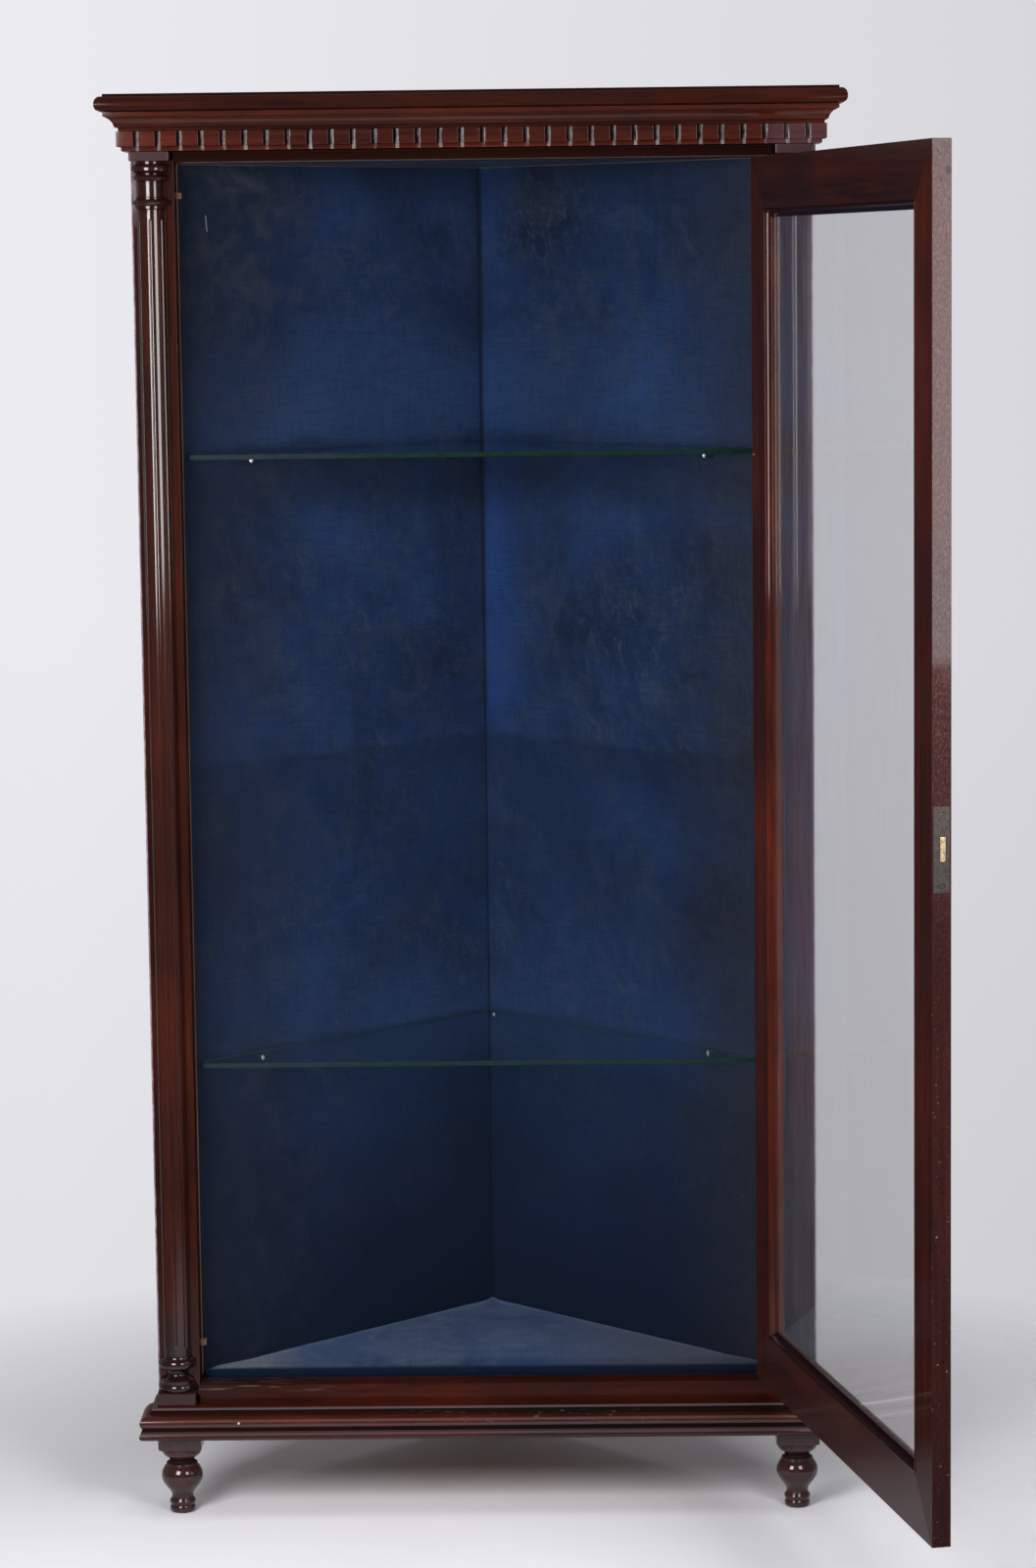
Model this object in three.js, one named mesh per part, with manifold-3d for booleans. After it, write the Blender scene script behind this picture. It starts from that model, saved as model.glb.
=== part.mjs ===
import * as THREE from 'three';
import { mergeVertices } from 'three/addons/utils/BufferGeometryUtils.js';
import Module from 'manifold-3d';

const wasm = await Module();
wasm.setup();

// Plan frame while building: X to the right, Y to the back, Z up, millimetres.
// Y is zero on the front face of the posts, and the two back walls meet at a right angle.

// Overall heights
const overallHeight = 1705.5;
const footHeight = 98.5;
const baseHeight = 39;
const railHeight = 22;
const headerGap = 2.6;

// Plan
const openingWidth = 700;
const postWidth = 50.5;
const postDepth = 38;
const jambDepth = 35;
const railProjection = 9.5;
const railThickness = 31.5;

// Back walls and lining
const boardThickness = 14;
const boardTongue = 8;
const liningThickness = 0.9;
const seat = 0.3;
const joint = 0.15;
const overrun = 2;
const cornerPostArm = 26;
const cornerPostThickness = 20;
const floorDrop = 3.65;
const ceilingBoardThickness = 15;
const padThickness = 14.7;
const padEdgeRound = 4;
const padCrown = 1.6;
const padSideGap = 0.6;

// Split-turned columns with their square blocks
const columnInset = 23.5;
const shaftRadius = 16.9;
const turningRadius = 23.3;
const capitalHeight = 55.9;
const columnBaseHeight = 44;
const abacusHeight = 10.8;
const plinthHeight = 15.2;
const blockHalf = 23.4;
const blockChamfer = 1;
const fluteCount = 8;
const fluteRadius = 3.2;
const fluteSink = 1.3;
const fluteStop = 13.5;

// Cornice
const corniceTopHeight = 20.2;
const corniceBottomGap = 11.6;
const lowerFilletHeight = 5.3;
const dentilHeight = 17.4;
const cavettoHeight = 22;
const lowerFilletProjection = 7.4;
const dentilProjection = 12.7;
const dentilBackProjection = 6.2;
const dentilPitch = 24.4;
const dentilGap = 4.6;
const cavettoProjection = 26.3;
const corniceProjection = 35.5;
const corniceStripDepth = 30;
const cornicePlateInset = 24;
const corniceBackClip = 20;
const headerLip = 2.4;
const headerLipHeight = 2.6;
const headerChamfer = 1;

// Base moulding
const baseProjection = 20.7;
const baseBackDepth = 26;
const rearBlockWidth = 60;

// Feet
const footBallRadius = 25.2;
const footBlockWidth = 52;
const footBlockHeight = 17;
const footCornerRound = 2.5;
const frontFootInset = 26;
const frontFootDepth = 3;

// Door
const doorThickness = 20.5;
const doorSideGap = 1.7;
const doorBottomGap = 3;
const doorTopGap = 3.6;
const stileFlat = 57.5;
const topRailFlat = 60.5;
const bottomRailFlat = 64;
const beadWidth = 9.5;
const ovoloRadius = 6;
const lipThickness = 8.6;
const glassThickness = 3.1;
const glassEdgeGap = 0.8;
const beadProud = 0.8;
const beadFlat = 2.6;
const beadFoot = 2;
const doorOpenAngle = THREE.MathUtils.degToRad(102.57);

// Hinges
const hingeLength = 76;
const hingeEndDistance = 190;
const hingeLeafWidth = 18;
const hingeLeafThickness = 1.5;
const hingeLeafOffset = 0.7;
const knuckleRadius = 3.7;
const knuckleCount = 5;
const knuckleGap = 0.4;
const hingePinRadius = 1.6;
const hingePinForward = 4;

// Lock
const lockHeight = 739;
const faceplateLength = 90;
const faceplateWidth = 17.8;
const faceplateThickness = 2.5;
const lockSetting = 10.4;
const boltLength = 26;
const boltHeight = 25.6;
const boltThickness = 6;
const boltSetting = 8.95;
const boltRestSink = 0.2;
const boltThrow = 8;
const boltClearance = 0.4;
const lockCaseDepth = 34;
const lockCaseHeight = 60;
const lockCaseThickness = 11;
const lockScrewSpacing = 37.3;
const lockScrewRadius = 2.9;
const lockScrewShank = 1.6;
const lockScrewLength = 9;
const screwSlotWidth = 0.8;
const screwSlotDepth = 0.7;
const strikeLength = 70;
const strikeThickness = 1.4;
const strikeWidth = 15;
const strikeSetting = 9.6;
const boltEndClearance = 2.5;
const keyholeInset = 22;
const keyholeRadius = 2.3;
const keyholeDrop = 9;
const keyholeSlot = 2;
const escutcheonHalfWidth = 6.5;
const escutcheonHalfHeight = 10;
const escutcheonThickness = 1.2;

// Shelves and their pins
const shelfThickness = 6;
const upperShelfDrop = 341.7;
const lowerShelfRise = 393.4;
const shelfFront = 26;
const shelfTipGap = 9;
const shelfWallGap = 1.6;
const shelfBackClip = 4;
const pinBallRadius = 4;
const pinShankRadius = 1.7;
const pinShankDepth = 9;
const pinReach = 15;
const rearPinReach = 7;
const sidePinInset = 94;
const rearPinAlong = 16;

// Door stops
const bufferWidth = 6.4;
const bufferDepth = 8;
const bufferHeight = 7.5;
const upperBufferDrop = 36.6;
const lowerBufferRise = 45.4;

// Sides of a round thing
const columnSides = 28;
const footSides = 24;
const smallSides = 12;
const ballSides = 12;

// Places that follow from the sizes above
const halfOpening = openingWidth / 2;
const postOuter = halfOpening + postWidth;
const wallPlane = postOuter + postDepth;
const backCornerDepth = halfOpening + jambDepth;
const columnX = postOuter - columnInset;
const blockFront = -blockHalf;
const baseTop = footHeight + baseHeight;
const thresholdTop = baseTop + railHeight;
const corniceTopBottom = overallHeight - corniceTopHeight - seat;
const cavettoBottom = corniceTopBottom - cavettoHeight;
const dentilBottom = cavettoBottom - seat - dentilHeight;
const corniceBottom = dentilBottom - lowerFilletHeight;
const headerBottom = corniceBottom - seat - corniceBottomGap;
const ceilingHeight = headerBottom - headerGap;
const liningBack = liningThickness + seat;
const boardBack = liningBack + boardThickness;
const doorHalfWidth = halfOpening - doorSideGap;
const doorBottom = thresholdTop + doorBottomGap;
const doorTop = headerBottom - doorTopGap;
const glassFront = lipThickness + seat;
const beadBack = glassFront + glassThickness + seat;
const hingePinX = halfOpening - doorSideGap / 2;
const hingePinY = -hingePinForward;
const lockZ = doorBottom + lockHeight;
const strikeMortise = boltThrow + boltEndClearance;
const floorTop = thresholdTop - floorDrop;
const upperShelfTop = ceilingHeight - upperShelfDrop;
const lowerShelfTop = floorTop + lowerShelfRise;
const sidePinAlong = halfOpening * Math.SQRT2 - sidePinInset;
const rearBlockSpan = rearBlockWidth * Math.SQRT1_2;
const rearFootY = backCornerDepth - rearBlockSpan;

// Outlines, as shares of the sizes that they follow: [radius or projection, height]
const capitalShares = [
  [0.745, 0], [0.77, 0.012], [0.77, 0.064], [0.88, 0.078], [0.965, 0.1], [1, 0.155], [0.965, 0.21],
  [0.87, 0.232], [0.77, 0.25], [0.77, 0.286], [0.85, 0.3], [0.905, 0.348], [0.85, 0.397], [0.735, 0.412],
  [0.735, 0.752], [0.79, 0.757], [0.79, 0.796], [0.92, 0.812], [0.99, 0.86], [0.92, 0.908],
  [0.81, 0.93], [0.81, 0.985],
];
const columnBaseShares = [
  [0.9, 0], [0.975, 0.045], [1, 0.11], [0.96, 0.18], [0.88, 0.215], [0.88, 0.3], [0.8, 0.345],
  [0.66, 0.39], [0.56, 0.45], [0.55, 0.52], [0.62, 0.6], [0.83, 0.635], [0.955, 0.68], [1, 0.765],
  [0.955, 0.85], [0.85, 0.895], [0.78, 0.93],
];
const footShares = [
  [0.513, 0], [0.575, 0.012], [0.612, 0.035], [0.615, 0.065], [0.596, 0.09], [0.556, 0.108],
  [0.605, 0.133], [0.633, 0.16], [0.612, 0.185], [0.556, 0.205], [0.524, 0.228], [0.517, 0.258],
  [0.542, 0.292], [0.608, 0.326], [0.696, 0.361], [0.796, 0.4], [0.888, 0.441], [0.958, 0.486],
  [0.994, 0.53], [1, 0.57], [0.975, 0.615], [0.917, 0.658], [0.842, 0.695], [0.79, 0.712],
  [0.75, 0.722], [0.768, 0.735], [0.752, 0.752], [0.672, 0.768], [0.55, 0.777], [0.546, 0.79],
  [0.592, 0.81], [0.667, 0.832], [0.788, 0.86], [0.892, 0.888], [0.958, 0.925], [0.99, 1],
];
const baseShares = [
  [0.31, 1], [0.31, 0.9], [0.26, 0.885], [0.27, 0.83], [0.36, 0.785], [0.52, 0.765], [0.66, 0.76],
  [0.85, 0.7], [0.965, 0.62], [0.975, 0.55], [0.93, 0.47], [0.86, 0.415], [0.8, 0.4], [0.8, 0.325],
  [0.88, 0.32], [0.88, 0.235], [0.94, 0.215], [1, 0.17], [1, 0.11], [0.93, 0.05], [0.7, 0],
];
const cavettoShares = [
  [0.39, 0], [0.39, 0.2], [0.55, 0.21], [0.57, 0.33], [0.63, 0.47], [0.75, 0.62], [0.9, 0.73],
  [1, 0.77], [1, 1],
];
const corniceTopShares = [
  [0.84, 0], [0.95, 0.09], [1, 0.27], [1, 0.5], [0.96, 0.7], [0.87, 0.84], [0.74, 0.86], [0.74, 1],
];

const finish = {
  mahogany: { color: 0x4a1a12, roughness: 0.28, metalness: 0 },
  carcase: { color: 0x3a221a, roughness: 0.6, metalness: 0 },
  brass: { color: 0xb08d4a, roughness: 0.35, metalness: 1 },
  velvet: { color: 0x1c2b4a, roughness: 0.95, metalness: 0 },
  glass: { color: 0xa9c4bb, roughness: 0.05, metalness: 0, transparent: true, opacity: 0.35 },
  buffer: { color: 0x9a6a52, roughness: 0.7, metalness: 0 },
};

const cupboard = new THREE.Group();
cupboard.name = 'corner_cupboard';
cupboard.position.set(0, -rearFootY, 0);

const door = new THREE.Group();
door.position.set(hingePinX, hingePinY, 0);
door.rotation.z = doorOpenAngle;
cupboard.add(door);

// The door is drawn shut, in the plan frame, and its group turns it about the hinge pins.
const doorShut = new THREE.Group();
doorShut.position.set(-hingePinX, -hingePinY, 0);
door.add(doorShut);

function addPiece(name, geometry, look, group = cupboard) {
  const mesh = new THREE.Mesh(geometry, new THREE.MeshStandardMaterial(finish[look]));
  mesh.name = name;
  group.add(mesh);
  return mesh;
}

// Geometry helpers

function toSolid(geometry) {
  const bare = geometry.clone();
  bare.deleteAttribute('normal');
  bare.deleteAttribute('uv');
  const merged = mergeVertices(bare.index ? bare.toNonIndexed() : bare);
  const vertProperties = new Float32Array(merged.attributes.position.array);
  const triVerts = new Uint32Array(merged.index.array);
  return new wasm.Manifold(new wasm.Mesh({ numProp: 3, vertProperties, triVerts }));
}

function fromSolid(solid) {
  const mesh = solid.getMesh();
  const geometry = new THREE.BufferGeometry();
  geometry.setAttribute('position', new THREE.BufferAttribute(mesh.vertProperties, mesh.numProp));
  geometry.setIndex(new THREE.BufferAttribute(mesh.triVerts, 1));
  geometry.computeVertexNormals();
  return geometry;
}

function cut(geometry, ...tools) {
  return fromSolid(tools.reduce((solid, tool) => solid.subtract(toSolid(tool)), toSolid(geometry)));
}

function join(...geometries) {
  return fromSolid(geometries.map(toSolid).reduce((solid, next) => solid.add(next)));
}

function keepWithin(geometry, tool) {
  return fromSolid(toSolid(geometry).intersect(toSolid(tool)));
}

function boxBetween(low, high) {
  const size = high.map((value, axis) => value - low[axis]);
  const centre = high.map((value, axis) => (value + low[axis]) / 2);
  return new THREE.BoxGeometry(...size).translate(...centre);
}

function slab(outline, bottom, top) {
  const shape = new THREE.Shape(outline.map(([x, y]) => new THREE.Vector2(x, y)));
  return new THREE.ExtrudeGeometry(shape, { depth: top - bottom, bevelEnabled: false }).translate(0, 0, bottom);
}

function turned(profile, sides) {
  const points = profile.map(([radius, height]) => new THREE.Vector2(radius, height));
  return new THREE.LatheGeometry(points, sides).rotateX(Math.PI / 2);
}

function rod(radius, length, sides = smallSides) {
  return new THREE.CylinderGeometry(radius, radius, length, sides).rotateX(Math.PI / 2);
}

// Joins rings of points, all with the same outline order, into one closed solid.
function loft(rings, outline) {
  const count = outline.length;
  const positions = rings.flat();
  const contour = outline.map(([a, b]) => new THREE.Vector2(a, b));
  const capFaces = THREE.ShapeUtils.triangulateShape(contour, []).map((face) => {
    const sameTurn = THREE.ShapeUtils.area(face.map((i) => contour[i])) * THREE.ShapeUtils.area(contour) > 0;
    return sameTurn ? face : [...face].reverse();
  });
  const triangles = [];
  for (let ring = 0; ring < rings.length - 1; ring += 1) {
    for (let k = 0; k < count; k += 1) {
      const a = ring * count + k;
      const b = ring * count + (k + 1) % count;
      triangles.push([a, b, b + count], [a, b + count, a + count]);
    }
  }
  const last = (rings.length - 1) * count;
  capFaces.forEach(([a, b, c]) => triangles.push([c, b, a], [a + last, b + last, c + last]));
  const geometry = new THREE.BufferGeometry();
  geometry.setAttribute('position', new THREE.Float32BufferAttribute(positions.flat(), 3));
  const volume = triangles.reduce((sum, [a, b, c]) => {
    const [pa, pb, pc] = [a, b, c].map((i) => new THREE.Vector3(...positions[i]));
    return sum + pa.dot(pb.cross(pc));
  }, 0);
  const ordered = volume < 0 ? triangles.map(([a, b, c]) => [a, c, b]) : triangles;
  geometry.setIndex(ordered.flat());
  geometry.computeVertexNormals();
  return geometry;
}

// A point beside a back wall: along it from the back corner, and outwards from its inner face.
function besideWall(side, along, outward) {
  const across = (along + outward) * Math.SQRT1_2;
  const back = backCornerDepth - (along - outward) * Math.SQRT1_2;
  return [side * across, back];
}

// A moulding that runs along the front and returns along both ends to the room's walls.
// Projections are measured from the faces of the columns' square blocks.
function returnedMoulding(outline) {
  const rings = [[], [], [], []];
  outline.forEach(([projection, height]) => {
    const side = postOuter + projection;
    const front = blockFront - projection;
    const end = wallPlane - side;
    rings[0].push([-side, end, height]);
    rings[1].push([-side, front, height]);
    rings[2].push([side, front, height]);
    rings[3].push([side, end, height]);
  });
  return loft(rings, outline);
}

// The space that posts and rails fill behind a moulding.
function carcaseCore(bottom, top) {
  const outline = [
    [-postOuter - seat, -seat], [postOuter + seat, -seat],
    [postOuter + seat, wallPlane], [-postOuter - seat, wallPlane],
  ];
  return slab(outline, bottom - overrun, top + overrun);
}

// Carcase

function postOutline(side) {
  const tongueEnd = halfOpening * Math.SQRT2 + boardTongue;
  return [
    [side * halfOpening, 0],
    [side * postOuter, 0],
    [side * postOuter, postDepth],
    besideWall(side, tongueEnd, (wallPlane - backCornerDepth) * Math.SQRT1_2),
    besideWall(side, tongueEnd, liningThickness),
    [side * halfOpening, backCornerDepth - halfOpening + liningThickness * Math.SQRT2],
  ];
}

function frontPost(side, cuts) {
  return cut(slab(postOutline(side), footHeight, corniceTopBottom), ...cuts);
}

function backBoard(side) {
  const start = side > 0 ? -liningBack : cornerPostArm - boardBack;
  const from = cornerPostArm - boardBack + seat;
  const to = halfOpening * Math.SQRT2 + boardTongue - seat;
  const outline = [
    besideWall(side, Math.max(start, from), liningBack), besideWall(side, to, liningBack),
    besideWall(side, to, boardBack), besideWall(side, Math.max(start, from), boardBack),
  ];
  return cut(slab(outline, footHeight, corniceTopBottom), ...pinHoles(side));
}

function rearCornerPost() {
  const inner = liningBack;
  const outer = liningBack + cornerPostThickness;
  const arm = boardBack - cornerPostArm;
  const point = (right, left) => [(right - left) * Math.SQRT1_2, backCornerDepth + (right + left) * Math.SQRT1_2];
  const outline = [
    point(inner, inner), point(inner, arm), point(outer, arm),
    point(outer, outer), point(arm, outer), point(arm, inner),
  ];
  return slab(outline, footHeight, corniceTopBottom);
}

// The triangle inside the back walls, from a front line to the back corner.
function insideOutline(front, wallGap, sideLimit) {
  const reach = backCornerDepth - wallGap * Math.SQRT2;
  return [[-sideLimit, front], [sideLimit, front], [sideLimit, reach - sideLimit], [0, reach], [-sideLimit, reach - sideLimit]];
}

function floorBoard() {
  const outline = insideOutline(railThickness - railProjection + seat, -liningThickness, halfOpening - seat);
  return slab(outline, baseTop + seat, floorTop);
}

function ceilingBoard() {
  const outline = insideOutline(railThickness - railProjection + seat, -liningThickness, halfOpening - seat);
  const bottom = ceilingHeight + liningThickness + seat;
  return slab(outline, bottom, bottom + ceilingBoardThickness);
}

function bottomRail() {
  return boxBetween(
    [-halfOpening + seat, -railProjection, baseTop],
    [halfOpening - seat, railThickness - railProjection, thresholdTop],
  );
}

function headerRail() {
  const front = -railProjection;
  const back = railThickness - railProjection;
  const under = corniceBottom - seat;
  const outline = [
    [front + headerChamfer, headerBottom], [front, headerBottom + headerChamfer],
    [front, under - headerLipHeight - headerLip / 2], [front - headerLip, under - headerLipHeight],
    [front - headerLip, under], [0, under], [0, corniceTopBottom], [back, corniceTopBottom], [back, headerBottom],
  ];
  const ends = [-halfOpening + seat, halfOpening - seat];
  return loft(ends.map((x) => outline.map(([y, z]) => [x, y, z])), outline);
}

function squareBlock(side, bottom, top) {
  const left = side * columnX - blockHalf;
  const right = side * columnX + blockHalf;
  const outline = [
    [left, 0], [left, blockFront + blockChamfer], [left + blockChamfer, blockFront],
    [right - blockChamfer, blockFront], [right, blockFront + blockChamfer], [right, 0],
  ];
  return slab(outline, bottom, top);
}

function columnProfile(bottom, top) {
  const profile = [[0, bottom]];
  columnBaseShares.forEach(([r, h]) => profile.push([r * turningRadius, bottom + h * columnBaseHeight]));
  profile.push([shaftRadius, bottom + columnBaseHeight]);
  profile.push([shaftRadius, top - capitalHeight]);
  [...capitalShares].reverse().forEach(([r, h]) => profile.push([r * turningRadius, top - h * capitalHeight]));
  profile.push([0, top]);
  return profile;
}

function fluteCutter(angle, bottom, top) {
  const body = rod(fluteRadius, top - bottom).translate(0, 0, (top + bottom) / 2);
  const ends = [bottom, top].map((height) => (
    new THREE.SphereGeometry(fluteRadius, smallSides, smallSides / 2).rotateX(Math.PI / 2).translate(0, 0, height)
  ));
  const distance = shaftRadius + fluteRadius - fluteSink;
  return join(body, ...ends).translate(distance * Math.sin(angle), -distance * Math.cos(angle), 0);
}

function column() {
  const bottom = baseTop + plinthHeight;
  const top = corniceBottom - seat - abacusHeight;
  const flutes = [];
  for (let k = 0; k < fluteCount; k += 1) {
    const angle = (k / fluteCount) * Math.PI * 2;
    if (Math.cos(angle) > 0.1) {
      flutes.push(fluteCutter(angle, bottom + columnBaseHeight + fluteStop, top - capitalHeight - fluteStop));
    }
  }
  const whole = cut(turned(columnProfile(bottom, top), columnSides), ...flutes);
  const front = boxBetween(
    [-turningRadius - overrun, -turningRadius - overrun, bottom - overrun],
    [turningRadius + overrun, 0, top + overrun],
  );
  return keepWithin(whole, front);
}

// Cornice and base

function dentilCourse() {
  const top = dentilBottom + dentilHeight;
  const band = returnedMoulding([
    [-corniceStripDepth, corniceBottom], [lowerFilletProjection, corniceBottom],
    [lowerFilletProjection, dentilBottom], [dentilBackProjection, dentilBottom],
    [dentilBackProjection, top], [-corniceStripDepth, top],
  ]);
  const teeth = dentils(dentilBottom, top);
  return cut(join(band, ...teeth), carcaseCore(corniceBottom, top));
}

function dentils(bottom, top) {
  const half = (dentilPitch - dentilGap) / 2;
  const side = postOuter + dentilProjection;
  const front = blockFront - dentilProjection;
  const backFront = blockFront - dentilBackProjection + seat;
  const backSide = postOuter + dentilBackProjection - seat;
  const count = Math.floor((side - dentilPitch / 2) / dentilPitch);
  const teeth = [];
  const corner = side - half;
  for (let k = -count; k <= count; k += 1) {
    const x = (k * corner) / count;
    teeth.push(boxBetween([x - half, front, bottom], [x + half, backFront, top]));
  }
  [-1, 1].forEach((end) => {
    for (let y = front; y + half < wallPlane - side - half; y += dentilPitch) {
      const low = Math.min(end * backSide, end * side);
      const high = Math.max(end * backSide, end * side);
      teeth.push(boxBetween([low, y, bottom], [high, y + half * 2, top]));
    }
  });
  return teeth;
}

function cavettoMoulding() {
  const outline = cavettoShares.map(([p, h]) => [p * cavettoProjection, cavettoBottom + h * (cavettoHeight - seat)]);
  outline.push([-corniceStripDepth, corniceTopBottom - seat], [-corniceStripDepth, cavettoBottom]);
  return cut(returnedMoulding(outline), carcaseCore(cavettoBottom, corniceTopBottom));
}

function corniceTop() {
  const height = overallHeight - corniceTopBottom - seat;
  const bottom = corniceTopBottom + seat;
  const outline = corniceTopShares.map(([p, h]) => [p * corniceProjection, bottom + h * height]);
  outline.push([-corniceStripDepth, overallHeight], [-corniceStripDepth, bottom]);
  const inset = cornicePlateInset;
  const side = postOuter - inset;
  const rear = wallPlane - corniceBackClip;
  const plate = slab([
    [-side, blockFront + inset / 2], [side, blockFront + inset / 2], [side, wallPlane - side],
    [corniceBackClip, rear], [-corniceBackClip, rear], [-side, wallPlane - side],
  ], bottom, overallHeight);
  return join(returnedMoulding(outline), plate);
}

function baseMoulding() {
  const outline = baseShares.map(([p, h]) => [p * baseProjection, footHeight + h * baseHeight]);
  outline.push([-baseBackDepth, footHeight], [-baseBackDepth, baseTop]);
  return cut(returnedMoulding(outline), carcaseCore(footHeight, baseTop));
}

function baseRail() {
  return boxBetween(
    [-halfOpening + seat, 0, footHeight],
    [halfOpening - seat, railThickness - railProjection, baseTop],
  );
}

function rearBlock() {
  const reach = rearBlockWidth * Math.SQRT2;
  const back = backCornerDepth;
  const outline = [[0, back], [-reach / 2, back - reach / 2], [0, back - reach], [reach / 2, back - reach / 2]];
  return slab(outline, footHeight, baseTop);
}

function foot() {
  const turnedHeight = footHeight - footBlockHeight;
  const profile = footShares.map(([r, h]) => [r * footBallRadius, h * turnedHeight]);
  const body = turned([[0, 0], ...profile, [0, turnedHeight]], footSides);
  const half = footBlockWidth / 2;
  const block = boxBetween([-half, -half, turnedHeight - joint], [half, half, footHeight - seat]);
  const corner = half * Math.SQRT2;
  const softener = turned([
    [0, turnedHeight - overrun],
    [corner - footCornerRound - overrun, turnedHeight - overrun],
    [corner, turnedHeight + footCornerRound],
    [corner, footHeight],
    [0, footHeight],
  ], footSides);
  return join(body, keepWithin(block, softener));
}

// Linings and floor pad

function wallLining(side) {
  const start = side > 0 ? 0 : liningThickness + seat;
  const end = halfOpening * Math.SQRT2 - liningThickness * 2;
  const outline = [
    besideWall(side, start, 0), besideWall(side, end, 0),
    besideWall(side, end, liningThickness), besideWall(side, start, liningThickness),
  ];
  return cut(slab(outline, floorTop + seat, ceilingHeight - seat), ...pinHoles(side));
}

function ceilingLining() {
  const outline = insideOutline(railThickness - railProjection + seat, seat, halfOpening - seat);
  return slab(outline, ceilingHeight, ceilingHeight + liningThickness);
}

function floorPad() {
  const bottom = floorTop + seat;
  const front = railThickness - railProjection + seat;
  const ring = (inset, height) => (
    insideOutline(front + inset, padSideGap + inset, halfOpening - padSideGap - inset).map(([x, y]) => [x, y, height])
  );
  const rise = padThickness - padCrown;
  const rings = [
    ring(0, bottom), ring(0, bottom + rise - padEdgeRound),
    ring(padEdgeRound * 0.3, bottom + rise - padEdgeRound * 0.3), ring(padEdgeRound, bottom + rise),
    ring(padEdgeRound * 4, bottom + padThickness),
  ];
  return loft(rings, insideOutline(front, padSideGap, halfOpening - padSideGap));
}

// Shelves and pins

function shelf(top) {
  const reach = backCornerDepth - shelfWallGap * Math.SQRT2;
  const side = halfOpening - shelfTipGap;
  const back = reach - shelfBackClip;
  const outline = [
    [-side, shelfFront], [side, shelfFront], [side, reach - side],
    [shelfBackClip, back], [-shelfBackClip, back], [-side, reach - side],
  ];
  return slab(outline, top - shelfThickness, top);
}

const shelfTops = { upper: upperShelfTop, lower: lowerShelfTop };
const pinPlaces = {
  left: { side: -1, along: sidePinAlong, reach: pinReach },
  right: { side: 1, along: sidePinAlong, reach: pinReach },
  rear: { side: 1, along: rearPinAlong, reach: rearPinReach },
};

function pinHeight(top) {
  return top - shelfThickness - pinBallRadius - seat;
}

// A pin lies square to its wall: from the middle of its ball to the end of its shank.
function alongPin(geometry, place, outward) {
  const [x, y] = besideWall(place.side, place.along, outward);
  return geometry.rotateX(Math.PI / 2).rotateZ((-place.side * Math.PI) / 4).translate(x, y, 0);
}

function pinHoles(side) {
  const holes = [];
  Object.values(pinPlaces).filter((place) => place.side === side).forEach((place) => {
    Object.values(shelfTops).forEach((top) => {
      const length = liningBack + pinShankDepth + overrun + seat;
      const middle = (liningBack + pinShankDepth + seat - overrun) / 2;
      const hole = alongPin(rod(pinShankRadius + seat, length, smallSides), place, middle);
      holes.push(hole.translate(0, 0, pinHeight(top)));
    });
  });
  return holes;
}

function shelfPin(place, top) {
  const length = place.reach + liningBack + pinShankDepth;
  const shank = rod(pinShankRadius, length, smallSides / 2).translate(0, 0, -length / 2);
  const ball = new THREE.SphereGeometry(pinBallRadius, ballSides, ballSides / 2).rotateX(Math.PI / 2);
  return alongPin(join(ball, shank), place, -place.reach).translate(0, 0, pinHeight(top));
}

// Door

// Each line of a frame member's section runs parallel to its edge and ends on its neighbours' lines,
// so the corners are mitred also where a rail is wider than a stile.
function frameMember(edge, sectionOf) {
  const flats = { lock: stileFlat, hinge: stileFlat, top: topRailFlat, bottom: bottomRailFlat };
  const sections = Object.fromEntries(Object.entries(flats).map(([name, flat]) => [name, sectionOf(flat)]));
  const upright = edge === 'lock' || edge === 'hinge';
  const ends = upright ? ['bottom', 'top'] : ['lock', 'hinge'];
  const middle = (doorBottom + doorTop) / 2;
  const place = {
    lock: (w) => -doorHalfWidth + w,
    hinge: (w) => doorHalfWidth - w,
    bottom: (w) => doorBottom + w,
    top: (w) => doorTop - w,
  };
  const rings = ends.map((end) => sections[edge].map(([width, depth], k) => {
    const own = place[edge](width);
    const cross = place[end](sections[end][k][0]);
    const towards = upright ? Math.sign(middle - cross) : -Math.sign(cross);
    const set = cross + towards * joint;
    return upright ? [own, depth, set] : [set, depth, own];
  }));
  return loft(rings, sections[edge]);
}

function frameSection(flat) {
  const sight = flat + beadWidth;
  const section = [[0, 0], [sight - ovoloRadius, 0]];
  for (let step = 1; step <= 4; step += 1) {
    const angle = (step / 4) * (Math.PI / 2);
    section.push([sight - ovoloRadius + ovoloRadius * Math.sin(angle), ovoloRadius * (1 - Math.cos(angle))]);
  }
  section.push([sight, lipThickness], [flat, lipThickness], [flat, doorThickness], [0, doorThickness]);
  return section;
}

function beadSection(flat) {
  const near = flat + seat;
  const far = flat + beadWidth;
  const crest = doorThickness + beadProud;
  const reach = far - near - beadFlat;
  const drop = crest - beadBack - beadFoot;
  const section = [[near, beadBack], [far, beadBack]];
  for (let step = 0; step <= 4; step += 1) {
    const angle = (step / 4) * (Math.PI / 2);
    section.push([far - reach * Math.sin(angle), beadBack + beadFoot + drop * (1 - Math.cos(angle))]);
  }
  section.push([near, crest]);
  return section;
}

function doorGlass() {
  const side = doorHalfWidth - stileFlat - glassEdgeGap;
  return boxBetween(
    [-side, glassFront, doorBottom + bottomRailFlat + glassEdgeGap],
    [side, glassFront + glassThickness, doorTop - topRailFlat - glassEdgeGap],
  );
}

// Lock, in the edge of the lock stile

const doorEdge = -doorHalfWidth;

function lockBox(from, to, middle, thickness, height) {
  return boxBetween(
    [doorEdge + from, middle - thickness / 2, lockZ - height / 2],
    [doorEdge + to, middle + thickness / 2, lockZ + height / 2],
  );
}

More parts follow.
